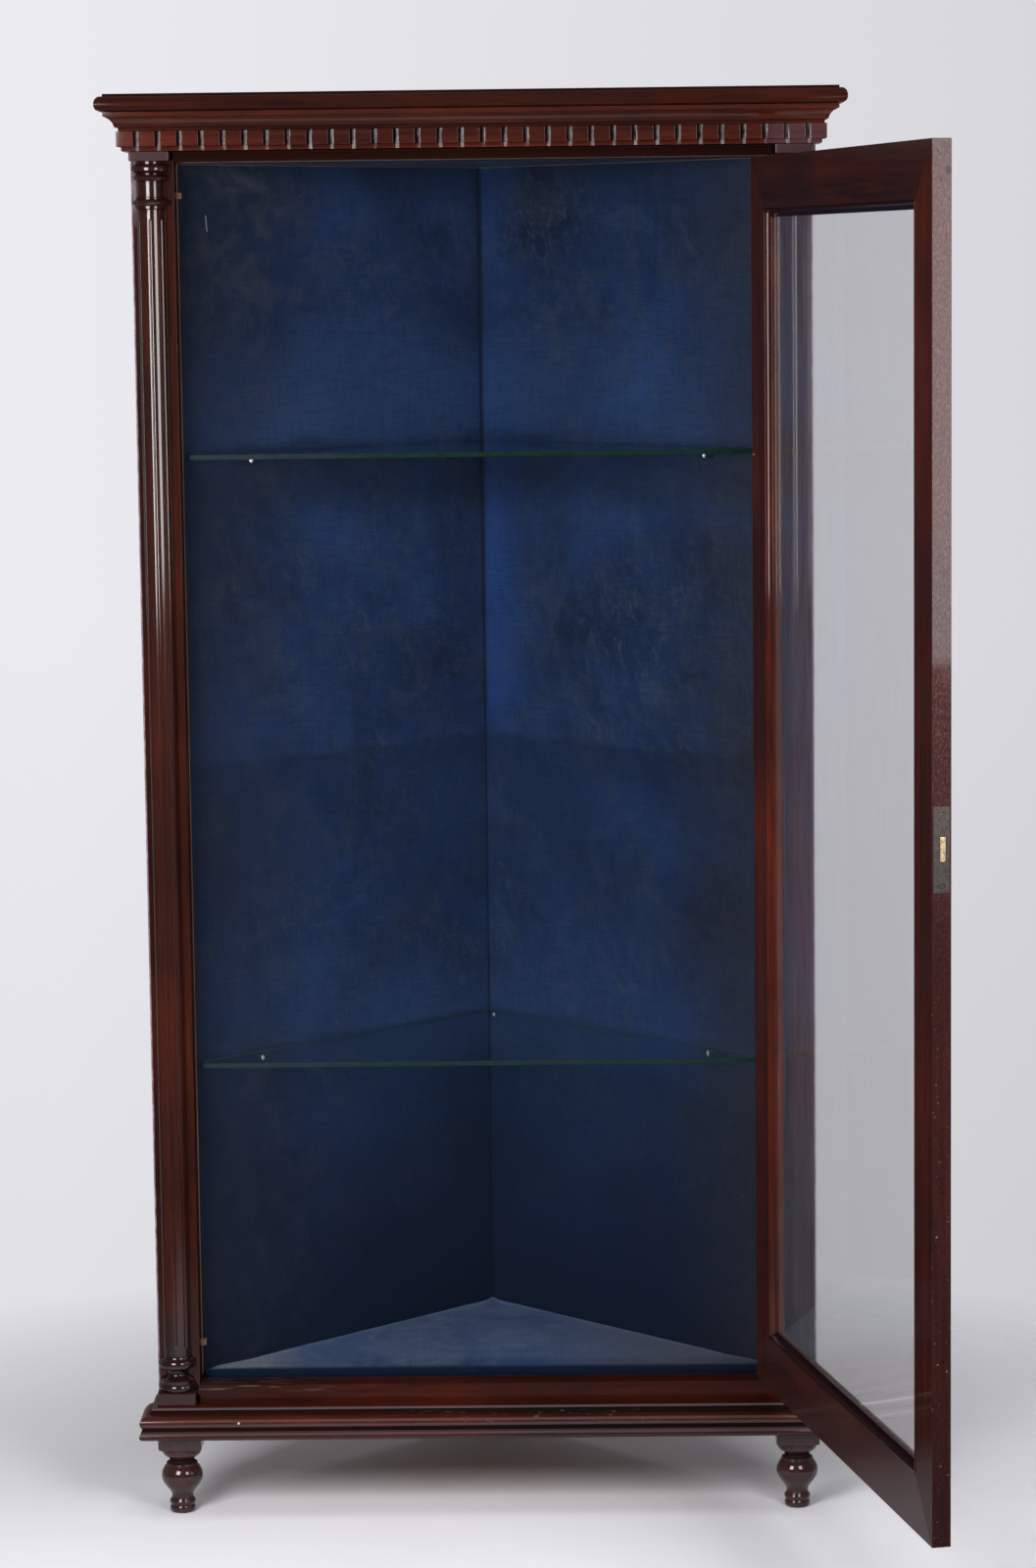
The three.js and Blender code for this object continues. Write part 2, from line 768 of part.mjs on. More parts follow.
function keyhole(front, back) {
  const x = doorEdge + keyholeInset;
  const depth = back - front;
  const round = rod(keyholeRadius, depth).rotateX(Math.PI / 2).translate(x, (front + back) / 2, lockZ);
  const slot = boxBetween([x - keyholeSlot / 2, front, lockZ - keyholeDrop], [x + keyholeSlot / 2, back, lockZ]);
  return join(round, slot);
}

function escutcheonDisc(grow, front, back) {
  const disc = rod(1, back - front, footSides).scale(escutcheonHalfWidth + grow, escutcheonHalfHeight + grow, 1);
  const middle = lockZ - (keyholeDrop - keyholeRadius) / 2;
  return disc.rotateX(Math.PI / 2).translate(doorEdge + keyholeInset, (front + back) / 2, middle);
}

function lockCuts() {
  const plate = faceplateThickness + seat;
  return [
    lockBox(-overrun, plate, lockSetting, faceplateWidth + seat * 2, faceplateLength + seat * 2),
    lockBox(-overrun, plate + lockCaseDepth + seat, lockSetting, lockCaseThickness + seat * 2, lockCaseHeight + seat * 2),
    keyhole(-overrun, lockSetting),
    escutcheonDisc(seat, -overrun, escutcheonThickness + seat),
    ...[-1, 1].map((end) => screwHole(end)),
  ];
}

function screwHole(end) {
  const length = lockScrewLength + faceplateThickness + seat;
  const hole = rod(lockScrewShank + seat, length, smallSides).rotateY(Math.PI / 2);
  return hole.translate(doorEdge + length / 2, lockSetting, lockZ + end * lockScrewSpacing);
}

function faceplate() {
  const plate = lockBox(0, faceplateThickness, lockSetting, faceplateWidth, faceplateLength);
  const slot = lockBox(
    -overrun, faceplateThickness + overrun, boltSetting,
    boltThickness + boltClearance * 2, boltHeight + boltClearance * 2,
  );
  const sinks = [-1, 1].map((end) => (
    rod(lockScrewRadius + seat, faceplateThickness + overrun * 2).rotateY(Math.PI / 2)
      .translate(doorEdge + faceplateThickness / 2, lockSetting, lockZ + end * lockScrewSpacing)
  ));
  return cut(plate, slot, ...sinks);
}

function lockCase() {
  const front = faceplateThickness + seat;
  const body = lockBox(front, front + lockCaseDepth, lockSetting, lockCaseThickness, lockCaseHeight);
  const room = lockBox(
    front - overrun, boltRestSink + boltLength + boltClearance * 2, boltSetting,
    boltThickness + boltClearance * 2, boltHeight + boltClearance * 2,
  );
  return cut(body, room, keyhole(-overrun, lockSetting));
}

function lockBolt() {
  return lockBox(boltRestSink, boltRestSink + boltLength, boltSetting, boltThickness, boltHeight);
}

function lockScrew(end) {
  const head = rod(lockScrewRadius, faceplateThickness - screwSlotDepth / 2).translate(0, 0, faceplateThickness / 2);
  const shank = rod(lockScrewShank, lockScrewLength + faceplateThickness / 2 - seat)
    .translate(0, 0, faceplateThickness + (lockScrewLength - faceplateThickness / 2) / 2);
  const slot = boxBetween(
    [-screwSlotWidth / 2, -lockScrewRadius - overrun, 0],
    [screwSlotWidth / 2, lockScrewRadius + overrun, screwSlotDepth],
  );
  const screw = cut(join(head, shank), slot).rotateY(Math.PI / 2);
  return screw.translate(doorEdge, lockSetting, lockZ + end * lockScrewSpacing);
}

function escutcheon() {
  return cut(escutcheonDisc(0, 0, escutcheonThickness), keyhole(-overrun, escutcheonThickness + overrun));
}

function strikeBox(grow, depth, reachOut, middle, width, length) {
  return boxBetween(
    [-halfOpening - depth, middle - width / 2 - grow, lockZ - length / 2 - grow],
    [-halfOpening + reachOut, middle + width / 2 + grow, lockZ + length / 2 + grow],
  );
}

function strikeMouth(grow, depth) {
  return strikeBox(boltClearance * 2 + grow, depth, overrun, boltSetting, boltThickness, boltHeight);
}

function strikePlate() {
  const plate = strikeBox(0, strikeThickness, 0, strikeSetting, strikeWidth, strikeLength);
  return cut(plate, strikeMouth(0, strikeThickness + overrun));
}

function strikeCuts() {
  return [
    strikeBox(seat, strikeThickness + seat, overrun, strikeSetting, strikeWidth, strikeLength),
    strikeMouth(seat, strikeMortise),
  ];
}

// Hinges

const hingeHeights = {
  upper: doorTop - hingeEndDistance,
  lower: doorBottom + hingeEndDistance,
};

function leafBox(side, height, back, grow) {
  const near = hingePinX + side * (hingeLeafOffset - grow * 2);
  const far = hingePinX + side * (hingeLeafOffset + hingeLeafThickness + grow);
  return boxBetween(
    [Math.min(near, far), hingePinY + knuckleRadius - grow, height - hingeLength / 2 - grow],
    [Math.max(near, far), back + grow, height + hingeLength / 2 + grow],
  );
}

function hingeLeaf(side, height) {
  const pitch = hingeLength / knuckleCount;
  const first = side > 0 ? 0 : 1;
  const pieces = [leafBox(side, height, hingeLeafWidth, 0)];
  for (let k = first; k < knuckleCount; k += 2) {
    const z = height - hingeLength / 2 + (k + 0.5) * pitch;
    pieces.push(rod(knuckleRadius, pitch - knuckleGap).translate(hingePinX, hingePinY, z));
    const near = hingePinX + side * hingeLeafOffset;
    const far = near + side * hingeLeafThickness;
    pieces.push(boxBetween(
      [Math.min(near, far), hingePinY, z - (pitch - knuckleGap) / 2],
      [Math.max(near, far), hingePinY + knuckleRadius + joint, z + (pitch - knuckleGap) / 2],
    ));
  }
  const bore = rod(hingePinRadius + seat, hingeLength + overrun * 2).translate(hingePinX, hingePinY, height);
  return cut(join(...pieces), bore);
}

function hingePin(height) {
  return rod(hingePinRadius, hingeLength - knuckleGap).translate(hingePinX, hingePinY, height);
}

function hingeCuts(side) {
  return Object.values(hingeHeights).map((height) => leafBox(side, height, hingeLeafWidth, seat));
}

// Door stops on the left post

function buffer(height) {
  const front = doorThickness + seat;
  return boxBetween(
    [-halfOpening, front, height - bufferHeight / 2],
    [-halfOpening + bufferWidth, front + bufferDepth, height + bufferHeight / 2],
  );
}

// Assembly

addPiece('left_front_post', frontPost(-1, strikeCuts()), 'mahogany');
addPiece('right_front_post', frontPost(1, hingeCuts(1)), 'mahogany');
addPiece('left_back_board', backBoard(-1), 'carcase');
addPiece('right_back_board', backBoard(1), 'carcase');
addPiece('rear_corner_post', rearCornerPost(), 'carcase');
addPiece('floor_board', floorBoard(), 'carcase');
addPiece('ceiling_board', ceilingBoard(), 'carcase');
addPiece('bottom_rail', bottomRail(), 'mahogany');
addPiece('header_rail', headerRail(), 'mahogany');
addPiece('base_rail', baseRail(), 'carcase');
addPiece('base_rear_block', rearBlock(), 'carcase');
addPiece('base_moulding', baseMoulding(), 'mahogany');
addPiece('dentil_course', dentilCourse(), 'mahogany');
addPiece('cavetto_moulding', cavettoMoulding(), 'mahogany');
addPiece('cornice_top', corniceTop(), 'mahogany');

const columnGeometry = column();
Object.entries({ left: -1, right: 1 }).forEach(([hand, side]) => {
  addPiece(`${hand}_column`, columnGeometry, 'mahogany').position.x = side * columnX;
  addPiece(`${hand}_column_plinth`, squareBlock(side, baseTop, baseTop + plinthHeight), 'mahogany');
  const abacusTop = corniceBottom - seat;
  addPiece(`${hand}_column_abacus`, squareBlock(side, abacusTop - abacusHeight, abacusTop), 'mahogany');
  addPiece(`${hand}_wall_lining`, wallLining(side), 'velvet');
  const frontFoot = addPiece(`${hand}_front_foot`, foot(), 'mahogany');
  frontFoot.position.set(side * (postOuter - frontFootInset), frontFootDepth, 0);
});

const rearFoot = addPiece('rear_foot', foot(), 'mahogany');
rearFoot.position.y = rearFootY;
rearFoot.rotation.z = Math.PI / 4;

addPiece('ceiling_lining', ceilingLining(), 'velvet');
addPiece('floor_pad', floorPad(), 'velvet');

Object.entries(shelfTops).forEach(([level, top]) => {
  addPiece(`${level}_shelf`, shelf(top), 'glass');
  Object.entries(pinPlaces).forEach(([where, place]) => {
    addPiece(`${level}_shelf_pin_${where}`, shelfPin(place, top), 'brass');
  });
});

addPiece('upper_buffer', buffer(ceilingHeight - upperBufferDrop), 'buffer');
addPiece('lower_buffer', buffer(thresholdTop + lowerBufferRise), 'buffer');
addPiece('strike_plate', strikePlate(), 'brass');

addPiece('door_lock_stile', cut(frameMember('lock', frameSection), ...lockCuts()), 'mahogany', doorShut);
addPiece('door_hinge_stile', cut(frameMember('hinge', frameSection), ...hingeCuts(-1)), 'mahogany', doorShut);
addPiece('door_top_rail', frameMember('top', frameSection), 'mahogany', doorShut);
addPiece('door_bottom_rail', frameMember('bottom', frameSection), 'mahogany', doorShut);
addPiece('door_glass', doorGlass(), 'glass', doorShut);
['lock', 'hinge', 'top', 'bottom'].forEach((edge) => {
  addPiece(`glazing_bead_${edge}`, frameMember(edge, beadSection), 'mahogany', doorShut);
});
addPiece('lock_faceplate', faceplate(), 'brass', doorShut);
addPiece('lock_case', lockCase(), 'brass', doorShut);
addPiece('lock_bolt', lockBolt(), 'brass', doorShut);
addPiece('lock_screw_upper', lockScrew(1), 'brass', doorShut);
addPiece('lock_screw_lower', lockScrew(-1), 'brass', doorShut);
addPiece('keyhole_escutcheon', escutcheon(), 'brass', doorShut);

Object.entries(hingeHeights).forEach(([level, height]) => {
  addPiece(`${level}_hinge_post_leaf`, hingeLeaf(1, height), 'brass');
  addPiece(`${level}_hinge_door_leaf`, hingeLeaf(-1, height), 'brass', doorShut);
  addPiece(`${level}_hinge_pin`, hingePin(height), 'brass');
});

export default cupboard;
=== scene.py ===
import math

import bpy
from mathutils import Matrix, Vector, noise


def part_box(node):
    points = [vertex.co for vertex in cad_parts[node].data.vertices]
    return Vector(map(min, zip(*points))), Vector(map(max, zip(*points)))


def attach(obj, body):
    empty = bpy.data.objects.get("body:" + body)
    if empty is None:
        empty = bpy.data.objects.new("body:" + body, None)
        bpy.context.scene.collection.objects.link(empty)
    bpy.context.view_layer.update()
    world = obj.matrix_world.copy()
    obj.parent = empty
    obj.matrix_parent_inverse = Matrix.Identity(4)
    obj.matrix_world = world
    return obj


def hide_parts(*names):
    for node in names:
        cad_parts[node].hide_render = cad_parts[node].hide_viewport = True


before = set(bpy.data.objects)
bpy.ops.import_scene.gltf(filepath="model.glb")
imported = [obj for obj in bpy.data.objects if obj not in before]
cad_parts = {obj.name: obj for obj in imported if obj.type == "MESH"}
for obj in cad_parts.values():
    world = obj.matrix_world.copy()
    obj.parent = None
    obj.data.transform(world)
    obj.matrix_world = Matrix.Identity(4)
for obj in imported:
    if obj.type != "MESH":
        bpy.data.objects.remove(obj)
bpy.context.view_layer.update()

MM = 0.001
REAR_FOOT_Y = 342.574  # the drawing's zero is the posts' front face; the row's is the rear foot
BACK_CORNER_Y = 385.0
HANDS = ("left", "right")


def at(x, y, z):
    """A point of the drawing, in mm, in the row frame."""
    return Vector((x, y - REAR_FOOT_Y, z)) * MM


# Camera

CAMERA_PLACE = (100.71, -4924.64, 1499.61)  # in the drawing
PITCH, YAW, ROLL = (math.radians(a) for a in (7.0668, -0.6489, 0.6964))
FOCAL = 4246.43  # in pixels of the photograph
LONG_SIDE = 1600
SENSOR = 36


def make_camera():
    cy, sy = math.cos(YAW), math.sin(YAW)
    cp, sp = math.cos(PITCH), math.sin(PITCH)
    cr, sr = math.cos(ROLL), math.sin(ROLL)
    side = Vector((cy, -sy, 0))
    level = Vector((sy, cy, 0))
    forward = cp * level - sp * Vector((0, 0, 1))
    above = sp * level + cp * Vector((0, 0, 1))
    right = cr * side - sr * above
    up = sr * side + cr * above
    data = bpy.data.cameras.new("camera")
    data.sensor_width = SENSOR
    data.lens = FOCAL * SENSOR / LONG_SIDE
    camera = bpy.data.objects.new("camera", data)
    turn = Matrix((right, up, -forward)).transposed().to_4x4()
    camera.matrix_world = Matrix.Translation(at(*CAMERA_PLACE)) @ turn
    bpy.context.scene.collection.objects.link(camera)
    bpy.context.scene.camera = camera


make_camera()


# Node trees


class Nodes:
    """A node tree that short calls add to."""

    def __init__(self, tree):
        self.nodes = tree.nodes
        self.links = tree.links

    def put(self, socket, value):
        if isinstance(value, bpy.types.NodeSocket):
            self.links.new(value, socket)
        else:
            socket.default_value = value

    def add(self, kind, inputs=(), **settings):
        node = self.nodes.new(kind)
        for name, value in settings.items():
            setattr(node, name, value)
        for name, value in dict(inputs).items():
            self.put(node.inputs[name], value)
        return node

    def math(self, operation, a, b=0.0, clamp=False):
        node = self.add("ShaderNodeMath", {0: a, 1: b}, operation=operation, use_clamp=clamp)
        return node.outputs[0]

    def times(self, value, *others):
        for other in others:
            value = self.math("MULTIPLY", value, other)
        return value

    def remap(self, value, low, high, to_low=0.0, to_high=1.0):
        inputs = {"Value": value, "From Min": low, "From Max": high}
        inputs.update({"To Min": to_low, "To Max": to_high})
        return self.add("ShaderNodeMapRange", inputs, clamp=True).outputs[0]

    def band(self, value, rise, fall):
        """1 between two limits of a value, each with a soft start and end."""
        return self.times(self.remap(value, *rise), self.remap(value, *fall, 1, 0))

    def ray(self, kind):
        return self.add("ShaderNodeLightPath").outputs[f"Is {kind} Ray"]


class Graph(Nodes):
    """A material's nodes, with the colour, roughness and gloss that it has so far."""

    def __init__(self, name, **sockets):
        self.material = bpy.data.materials.new(name)
        self.material.use_nodes = True
        super().__init__(self.material.node_tree)
        self.shader = self.nodes["Principled BSDF"]
        self.surface = self.nodes["Material Output"].inputs["Surface"]
        self.set(**sockets)
        self.place = self.add("ShaderNodeTexCoord").outputs["Object"]
        self.color = self.rough = self.gloss = None

    def set(self, **sockets):
        for name, value in sockets.items():
            self.put(self.shader.inputs[name.replace("_", " ")], value)

    def mix(self, factor, a, b):
        node = self.add("ShaderNodeMix", data_type="RGBA")
        for name, value in (("Factor_Float", factor), ("A_Color", a), ("B_Color", b)):
            socket = next(s for s in node.inputs if s.identifier == name)
            self.put(socket, (*value, 1) if isinstance(value, tuple) else value)
        return next(s for s in node.outputs if s.identifier == "Result_Color")

    def stain(self, amount, color):
        """Lays an amount of a colour over what is there."""
        self.color = self.mix(amount, self.color, color)

    def layer(self, factor, a, b):
        return self.add("ShaderNodeMixShader", {0: factor, 1: a, 2: b}).outputs[0]

    def stretch(self, scale, turn=(0, 0, 0)):
        turned = self.place
        if any(turn):
            inputs = {"Vector": turned, "Rotation": turn}
            turned = self.add("ShaderNodeMapping", inputs).outputs[0]
        return self.add("ShaderNodeMapping", {"Vector": turned, "Scale": scale}).outputs[0]

    def noise(self, where, scale, detail=3.0, rough=0.5, warp=0.0):
        inputs = {"Vector": where, "Scale": scale, "Detail": detail}
        inputs.update({"Roughness": rough, "Distortion": warp})
        return self.add("ShaderNodeTexNoise", inputs).outputs["Fac"]

    def axes(self):
        return self.add("ShaderNodeSeparateXYZ", {0: self.place}).outputs

    def vector(self, operation, a, b):
        node = self.add("ShaderNodeVectorMath", {0: a, 1: b}, operation=operation)
        return node.outputs["Value"]

    def facing(self):
        """From 0 where a face is seen straight on to 1 where it is seen along its surface."""
        return self.add("ShaderNodeLayerWeight", {"Blend": 0.5}).outputs["Facing"]

    def bump(self, height, strength, distance):
        inputs = {"Height": height, "Strength": strength, "Distance": distance}
        self.set(Normal=self.add("ShaderNodeBump", inputs).outputs[0])

    def edges(self, radius):
        """From 0 on a flat face to 1 on a sharp edge."""
        soft = self.add("ShaderNodeBevel", {"Radius": radius}, samples=4).outputs[0]
        true = self.add("ShaderNodeNewGeometry").outputs["Normal"]
        return self.math("SUBTRACT", 1.0, self.vector("DOT_PRODUCT", soft, true), clamp=True)

    def hollows(self, reach):
        """From 0 on an open face to 1 deep in a recess of the same piece."""
        inputs = {"Distance": reach}
        node = self.add("ShaderNodeAmbientOcclusion", inputs, samples=6, only_local=True)
        return self.remap(node.outputs["AO"], 0.45, 0.95, 1.0, 0.0)


def shades(color, *factors):
    """A colour made darker or lighter by each factor."""
    return [tuple(c * factor for c in color) for factor in factors]


# Wood

DOOR_ANGLE = math.radians(102.57)
DOOR_ALONG = (-math.cos(DOOR_ANGLE), -math.sin(DOOR_ANGLE), 0)  # from the hinges to the lock
DOOR_ACROSS = (math.sin(DOOR_ANGLE), -math.cos(DOOR_ANGLE), 0)  # through the door's thickness
HINGE_PIN = (0.34915, -0.346574)
DOOR_REACH = 0.69745  # from the hinge pins to the door's lock edge
DOOR_EDGE = DOOR_ALONG[0] * HINGE_PIN[0] + DOOR_ALONG[1] * HINGE_PIN[1] + DOOR_REACH
DOOR_DENTS = (  # each dent's share of the way across the edge, its height and its radius
    (0.83, 1.5925, 0.0030),
    (0.45, 1.583, 0.0016),
    (0.30, 1.612, 0.0012),
)
POST_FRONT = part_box("left_front_post")[0].y
DENTIL_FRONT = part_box("dentil_course")[0].y
DENTIL_STEP = 0.0252063

GRAIN = {  # the grain's scale along each axis, and its turn
    "up": ((1, 1, 0.05), (0, 0, 0)),
    "across": ((0.05, 1, 1), (0, 0, 0)),
    "door": ((0.05, 1, 1), (0, 0, -DOOR_ANGLE)),
}
FIGURE = ((0.015, 0.0042, 0.0032), (0.056, 0.0118, 0.0060), (0.088, 0.0185, 0.0082))
PORES = (0.008, 0.0030, 0.0022)
DARK_CLOUD = (0.012, 0.0048, 0.0042)
DARK_PATCH = (0.010, 0.0040, 0.0036)
RUBBED_EDGE = (0.17, 0.105, 0.095)
# painted shade, with grime, for the recesses
RECESS_SHADE_AND_DIRT = (0.0035, 0.0022, 0.0020)
# painted reflection: the pale studio mirrored in the polish
LILAC_REFLECTION = (0.085, 0.055, 0.068)
RIM_REFLECTION = (0.36, 0.27, 0.32)
DENTIL_END_REFLECTION = (0.075, 0.045, 0.055)
WAX_AND_LIGHT = (0.27, 0.24, 0.25)
EDGE_REFLECTION = (0.105, 0.052, 0.061)
EDGE_GRAIN = (0.23, 0.120, 0.112)
EDGE_DOTS = (0.30, 0.22, 0.19)
DENT = (0.012, 0.006, 0.006)
CHIPPED = (0.17, 0.10, 0.09)
SPECK = (0.62, 0.52, 0.48)
SPECK_PLACE = (-0.3007, 0.1212)  # x and z on the base moulding
COLUMN_END = (0.010, 0.0045, 0.0045)
SCRATCH = (0.22, 0.20, 0.17)
RAIL_SHADE = (0.012, 0.009, 0.010)
# painted shade in the grooves, with grime
GROOVE_SHADE_AND_DIRT = (0.006, 0.005, 0.005)
# painted highlight on the fillets
PALE_HIGHLIGHT = (0.15, 0.115, 0.135)
# painted highlight on the torus
RED_HIGHLIGHT = (0.21, 0.10, 0.09)
LINE_BLUR = 0.0006
BASE_LINES = (  # lowest and highest point of each line on the base moulding, its amount and colour
    (0.1344, 0.1364, 0.35, PALE_HIGHLIGHT),
    (0.1292, 0.1326, 0.75, GROOVE_SHADE_AND_DIRT),
    (0.1225, 0.1248, 0.30, RED_HIGHLIGHT),
    (0.1168, 0.1192, 0.20, PALE_HIGHLIGHT),
    (0.1112, 0.1138, 0.75, GROOVE_SHADE_AND_DIRT),
    (0.1086, 0.1108, 0.40, GROOVE_SHADE_AND_DIRT),
    (0.1062, 0.1080, 0.35, PALE_HIGHLIGHT),
    (0.1032, 0.1048, 0.35, GROOVE_SHADE_AND_DIRT),
)
DULL_LINE = 0.7  # a line of a greater amount has no polish


def pale_rim_reflection(g):
    """The posts' front edges, paler below the necks of the columns: a painted reflection of the
    studio on their rounded edges.
    """
    x, y, z = g.axes()
    out = g.math("ABSOLUTE", x)
    broad = g.times(g.remap(out, 0.3935, 0.3955), g.remap(z, 1.55, 1.575), 0.75)
    rim = g.remap(out, 0.3982, 0.3994)
    ragged = g.remap(g.noise(g.stretch((1, 1, 0.25)), 240, 4, 0.7), 0.35, 0.62, 0.25, 1.0)
    near_front = g.remap(y, POST_FRONT + 0.004, POST_FRONT + 0.008, 1, 0)
    # painted reflection along the front edges
    g.stain(g.times(g.math("MAXIMUM", broad, rim), ragged, near_front), RIM_REFLECTION)


def gap_wax_and_light(g):
    """Old wax and painted light in the gaps between the dentils, and the course's paler ends, a
    painted reflection.
    """
    x, y, _ = g.axes()
    left, right = g.remap(x, -0.40, -0.37, 0.15, 0.0), g.remap(x, 0.338, 0.352, 0.0, 0.5)
    # painted reflection at both ends of the course
    g.stain(g.math("MAXIMUM", right, left), DENTIL_END_REFLECTION)
    drawn_out = g.stretch((1, 1, 0.5))
    share = g.math("FRACT", g.math("DIVIDE", x, DENTIL_STEP))
    ragged = g.math("ADD", share, g.times(g.noise(drawn_out, 190, 3, 0.6), 0.10))
    gap = g.band(ragged, (0.55, 0.58), (0.69, 0.73))
    near_front = g.remap(y, DENTIL_FRONT + 0.010, DENTIL_FRONT + 0.011, 1, 0)
    front = g.times(near_front, g.remap(g.math("ABSOLUTE", x), 0.404, 0.408, 1, 0))
    wax = g.remap(g.noise(drawn_out, 120, 4, 0.7), 0.38, 0.62, 0.1, 1.0)
    # old wax, painted lighter for the lit floor of each gap
    g.stain(g.times(gap, front, g.times(wax, 0.85)), WAX_AND_LIGHT)


def side_range(name):
    """Least and greatest distance of a door piece across the door's thickness."""
    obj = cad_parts[name]
    across = Vector(DOOR_ACROSS)
    reached = [across.dot(obj.matrix_world @ v.co) for v in obj.data.vertices]
    return min(reached), max(reached)


def lock_edge_wear_and_reflection(g):
    """The door's edge with the lock: dull, speckled with its grain, and dented near the top, with a
    painted pinkish reflection that grows towards the top.
    """
    z = g.axes()[2]
    reach = g.vector("DOT_PRODUCT", g.place, DOOR_ALONG)
    edge = g.remap(reach, DOOR_EDGE - 0.0022, DOOR_EDGE - 0.0014)
    # wear, with painted reflection: the edge's share rises towards the top, and its pinkish colour
    # and grain follow it
    wear_and_light = g.times(edge, g.remap(z, 0.75, 1.25, 0.12, 1.0))
    painted_glow = g.remap(g.noise(g.stretch((1, 1, 0.35)), 620, 4, 0.7), 0.4, 0.62, 0.35, 1.0)
    g.stain(g.times(wear_and_light, painted_glow, 0.5), EDGE_REFLECTION)
    g.rough = g.math("MAXIMUM", g.rough, g.times(edge, 0.6))
    grain = g.remap(g.noise(g.stretch((1, 1, 0.5)), 560, 4, 0.8), 0.49, 0.58)
    g.stain(g.times(wear_and_light, grain, 0.4), EDGE_GRAIN)
    across = g.vector("DOT_PRODUCT", g.place, DOOR_ACROSS)
    start, end = side_range("door_lock_stile")
    for part, height, radius in DOOR_DENTS:
        aside = g.math("SUBTRACT", across, start + part * (end - start))
        above = g.math("SUBTRACT", z, height)
        far = g.math("ADD", g.times(aside, aside), g.times(above, above, 0.4))
        dent = g.remap(g.math("SQRT", far), radius * 0.7, radius * 1.1, 1.0, 0.0)
        g.stain(g.times(edge, dent), DENT)
    dots = g.remap(g.noise(g.place, 330, 2, 0.5), 0.71, 0.74)
    g.stain(g.times(edge, dots, g.remap(z, 0.5, 0.9, 0.8, 0.0)), EDGE_DOTS)


def base_lines_and_chips(g):
    """Lines along the base moulding, chips at its middle and a pale speck: the dark lines are
    painted shade in its grooves, with grime, and the pale and red ones are painted highlights on
    its fillets and torus.
    """
    x, _, z = g.axes()
    for low, high, amount, color in BASE_LINES:
        line = g.band(z, (low - LINE_BLUR, low), (high, high + LINE_BLUR))
        g.stain(g.times(line, amount), color)
        if amount > DULL_LINE:
            g.gloss = g.times(g.gloss, g.math("SUBTRACT", 1.0, line))
    torus = g.band(z, (0.1165, 0.1185), (0.1295, 0.1315))
    middle = g.band(x, (-0.12, -0.05), (0.14, 0.22))
    chips = g.remap(g.noise(g.stretch((0.4, 1, 1)), 210, 5, 0.75), 0.6, 0.68)
    g.stain(g.times(torus, middle, chips), CHIPPED)
    aside = g.math("SUBTRACT", x, SPECK_PLACE[0])
    above = g.math("SUBTRACT", z, SPECK_PLACE[1])
    far = g.math("SQRT", g.math("ADD", g.times(aside, aside), g.times(above, above)))
    g.stain(g.remap(far, 0.0010, 0.0018, 0.9, 0.0), SPECK)


def dark_ends(g):
    """The turned ends of the columns, darker than their shafts."""
    z = g.axes()[2]
    base, capital = g.remap(z, 0.215, 0.26, 0.75, 0.0), g.remap(z, 1.560, 1.575, 0.0, 0.35)
    g.stain(g.math("MAXIMUM", base, capital), COLUMN_END)


def scratched_rail(g):
    """Scratches along the top of the bottom rail at its left, which is also greyer."""
    x, _, z = g.axes()
    scratch = g.remap(g.noise(g.stretch((0.04, 1, 1)), 420, 2, 0.5), 0.62, 0.66)
    where = g.times(g.remap(x, -0.30, -0.16, 1.0, 0.0), g.remap(z, 0.148, 0.153))
    g.stain(g.times(scratch, where, 0.7), SCRATCH)
    g.stain(g.times(g.remap(x, -0.31, -0.26, 1.0, 0.0), 0.45), RAIL_SHADE)


def mahogany(name, grain, marks=None, red=1.0, tone=1.0, wear=1.0, polish=0.6, satin=0.06,
             shade_and_dirt=0.85, reflected_lilac=0.0):
    """Dark polished mahogany with its grain along the piece, rubbed paler along its edges, with
    painted shade and grime in its recesses, and a painted reflection in pale violet where asked.
    """
    g = Graph(name, Coat_Roughness=satin, Coat_IOR=1.5, Specular_IOR_Level=0.0)
    scale, turn = GRAIN[grain]
    along = g.stretch(scale, turn)
    longer = g.stretch(tuple(s * 0.5 if s < 1 else s for s in scale), turn)
    streak = g.noise(along, 210, 4, 0.65)
    pores = g.noise(longer, 900, 2, 0.5)
    dark, mid, light = ((r * red * tone, gr * tone, b * tone) for r, gr, b in FIGURE)
    g.color = g.mix(g.remap(g.noise(along, 34, 5, 0.6, 0.6), 0.32, 0.7), dark, mid)
    g.stain(g.remap(streak, 0.38, 0.78, 0, 0.5), light)
    g.stain(g.remap(pores, 0.56, 0.7, 0, 0.6), PORES)
    g.stain(g.remap(g.noise(g.place, 7, 3, 0.55), 0.4, 0.72, 0.0, 0.5), DARK_CLOUD)
    g.stain(g.remap(g.noise(g.place, 2.3, 2, 0.5), 0.42, 0.62, 0.0, 0.45), DARK_PATCH)
    patches = g.remap(g.noise(g.place, 90, 4, 0.7), 0.48, 0.66)
    sunk = g.hollows(0.011)
    open_share = g.remap(sunk, 0.0, 0.3, 0.4 * wear, 0.0)
    g.stain(g.times(g.remap(g.edges(0.0008), 0.06, 0.3), patches, open_share), RUBBED_EDGE)
    # painted shade, with grime: the recesses of the piece, found by ambient occlusion, are darkened
    g.stain(g.times(sunk, shade_and_dirt), RECESS_SHADE_AND_DIRT)
    g.rough = g.remap(g.noise(g.place, 24, 4, 0.6), 0.3, 0.7, 0.36, 0.52)
    g.gloss = g.remap(sunk, 0.0, 0.8, polish, polish * 0.08)
    # painted reflection: a pale violet haze laid over the colour
    if reflected_lilac:
        g.stain(reflected_lilac, LILAC_REFLECTION)
    if marks:
        marks(g)
    g.set(Base_Color=g.color, Roughness=g.rough, Coat_Weight=g.gloss)
    g.bump(g.math("ADD", g.times(pores, 0.5), g.times(streak, 0.6)), 0.12, 0.0005)
    return g.material


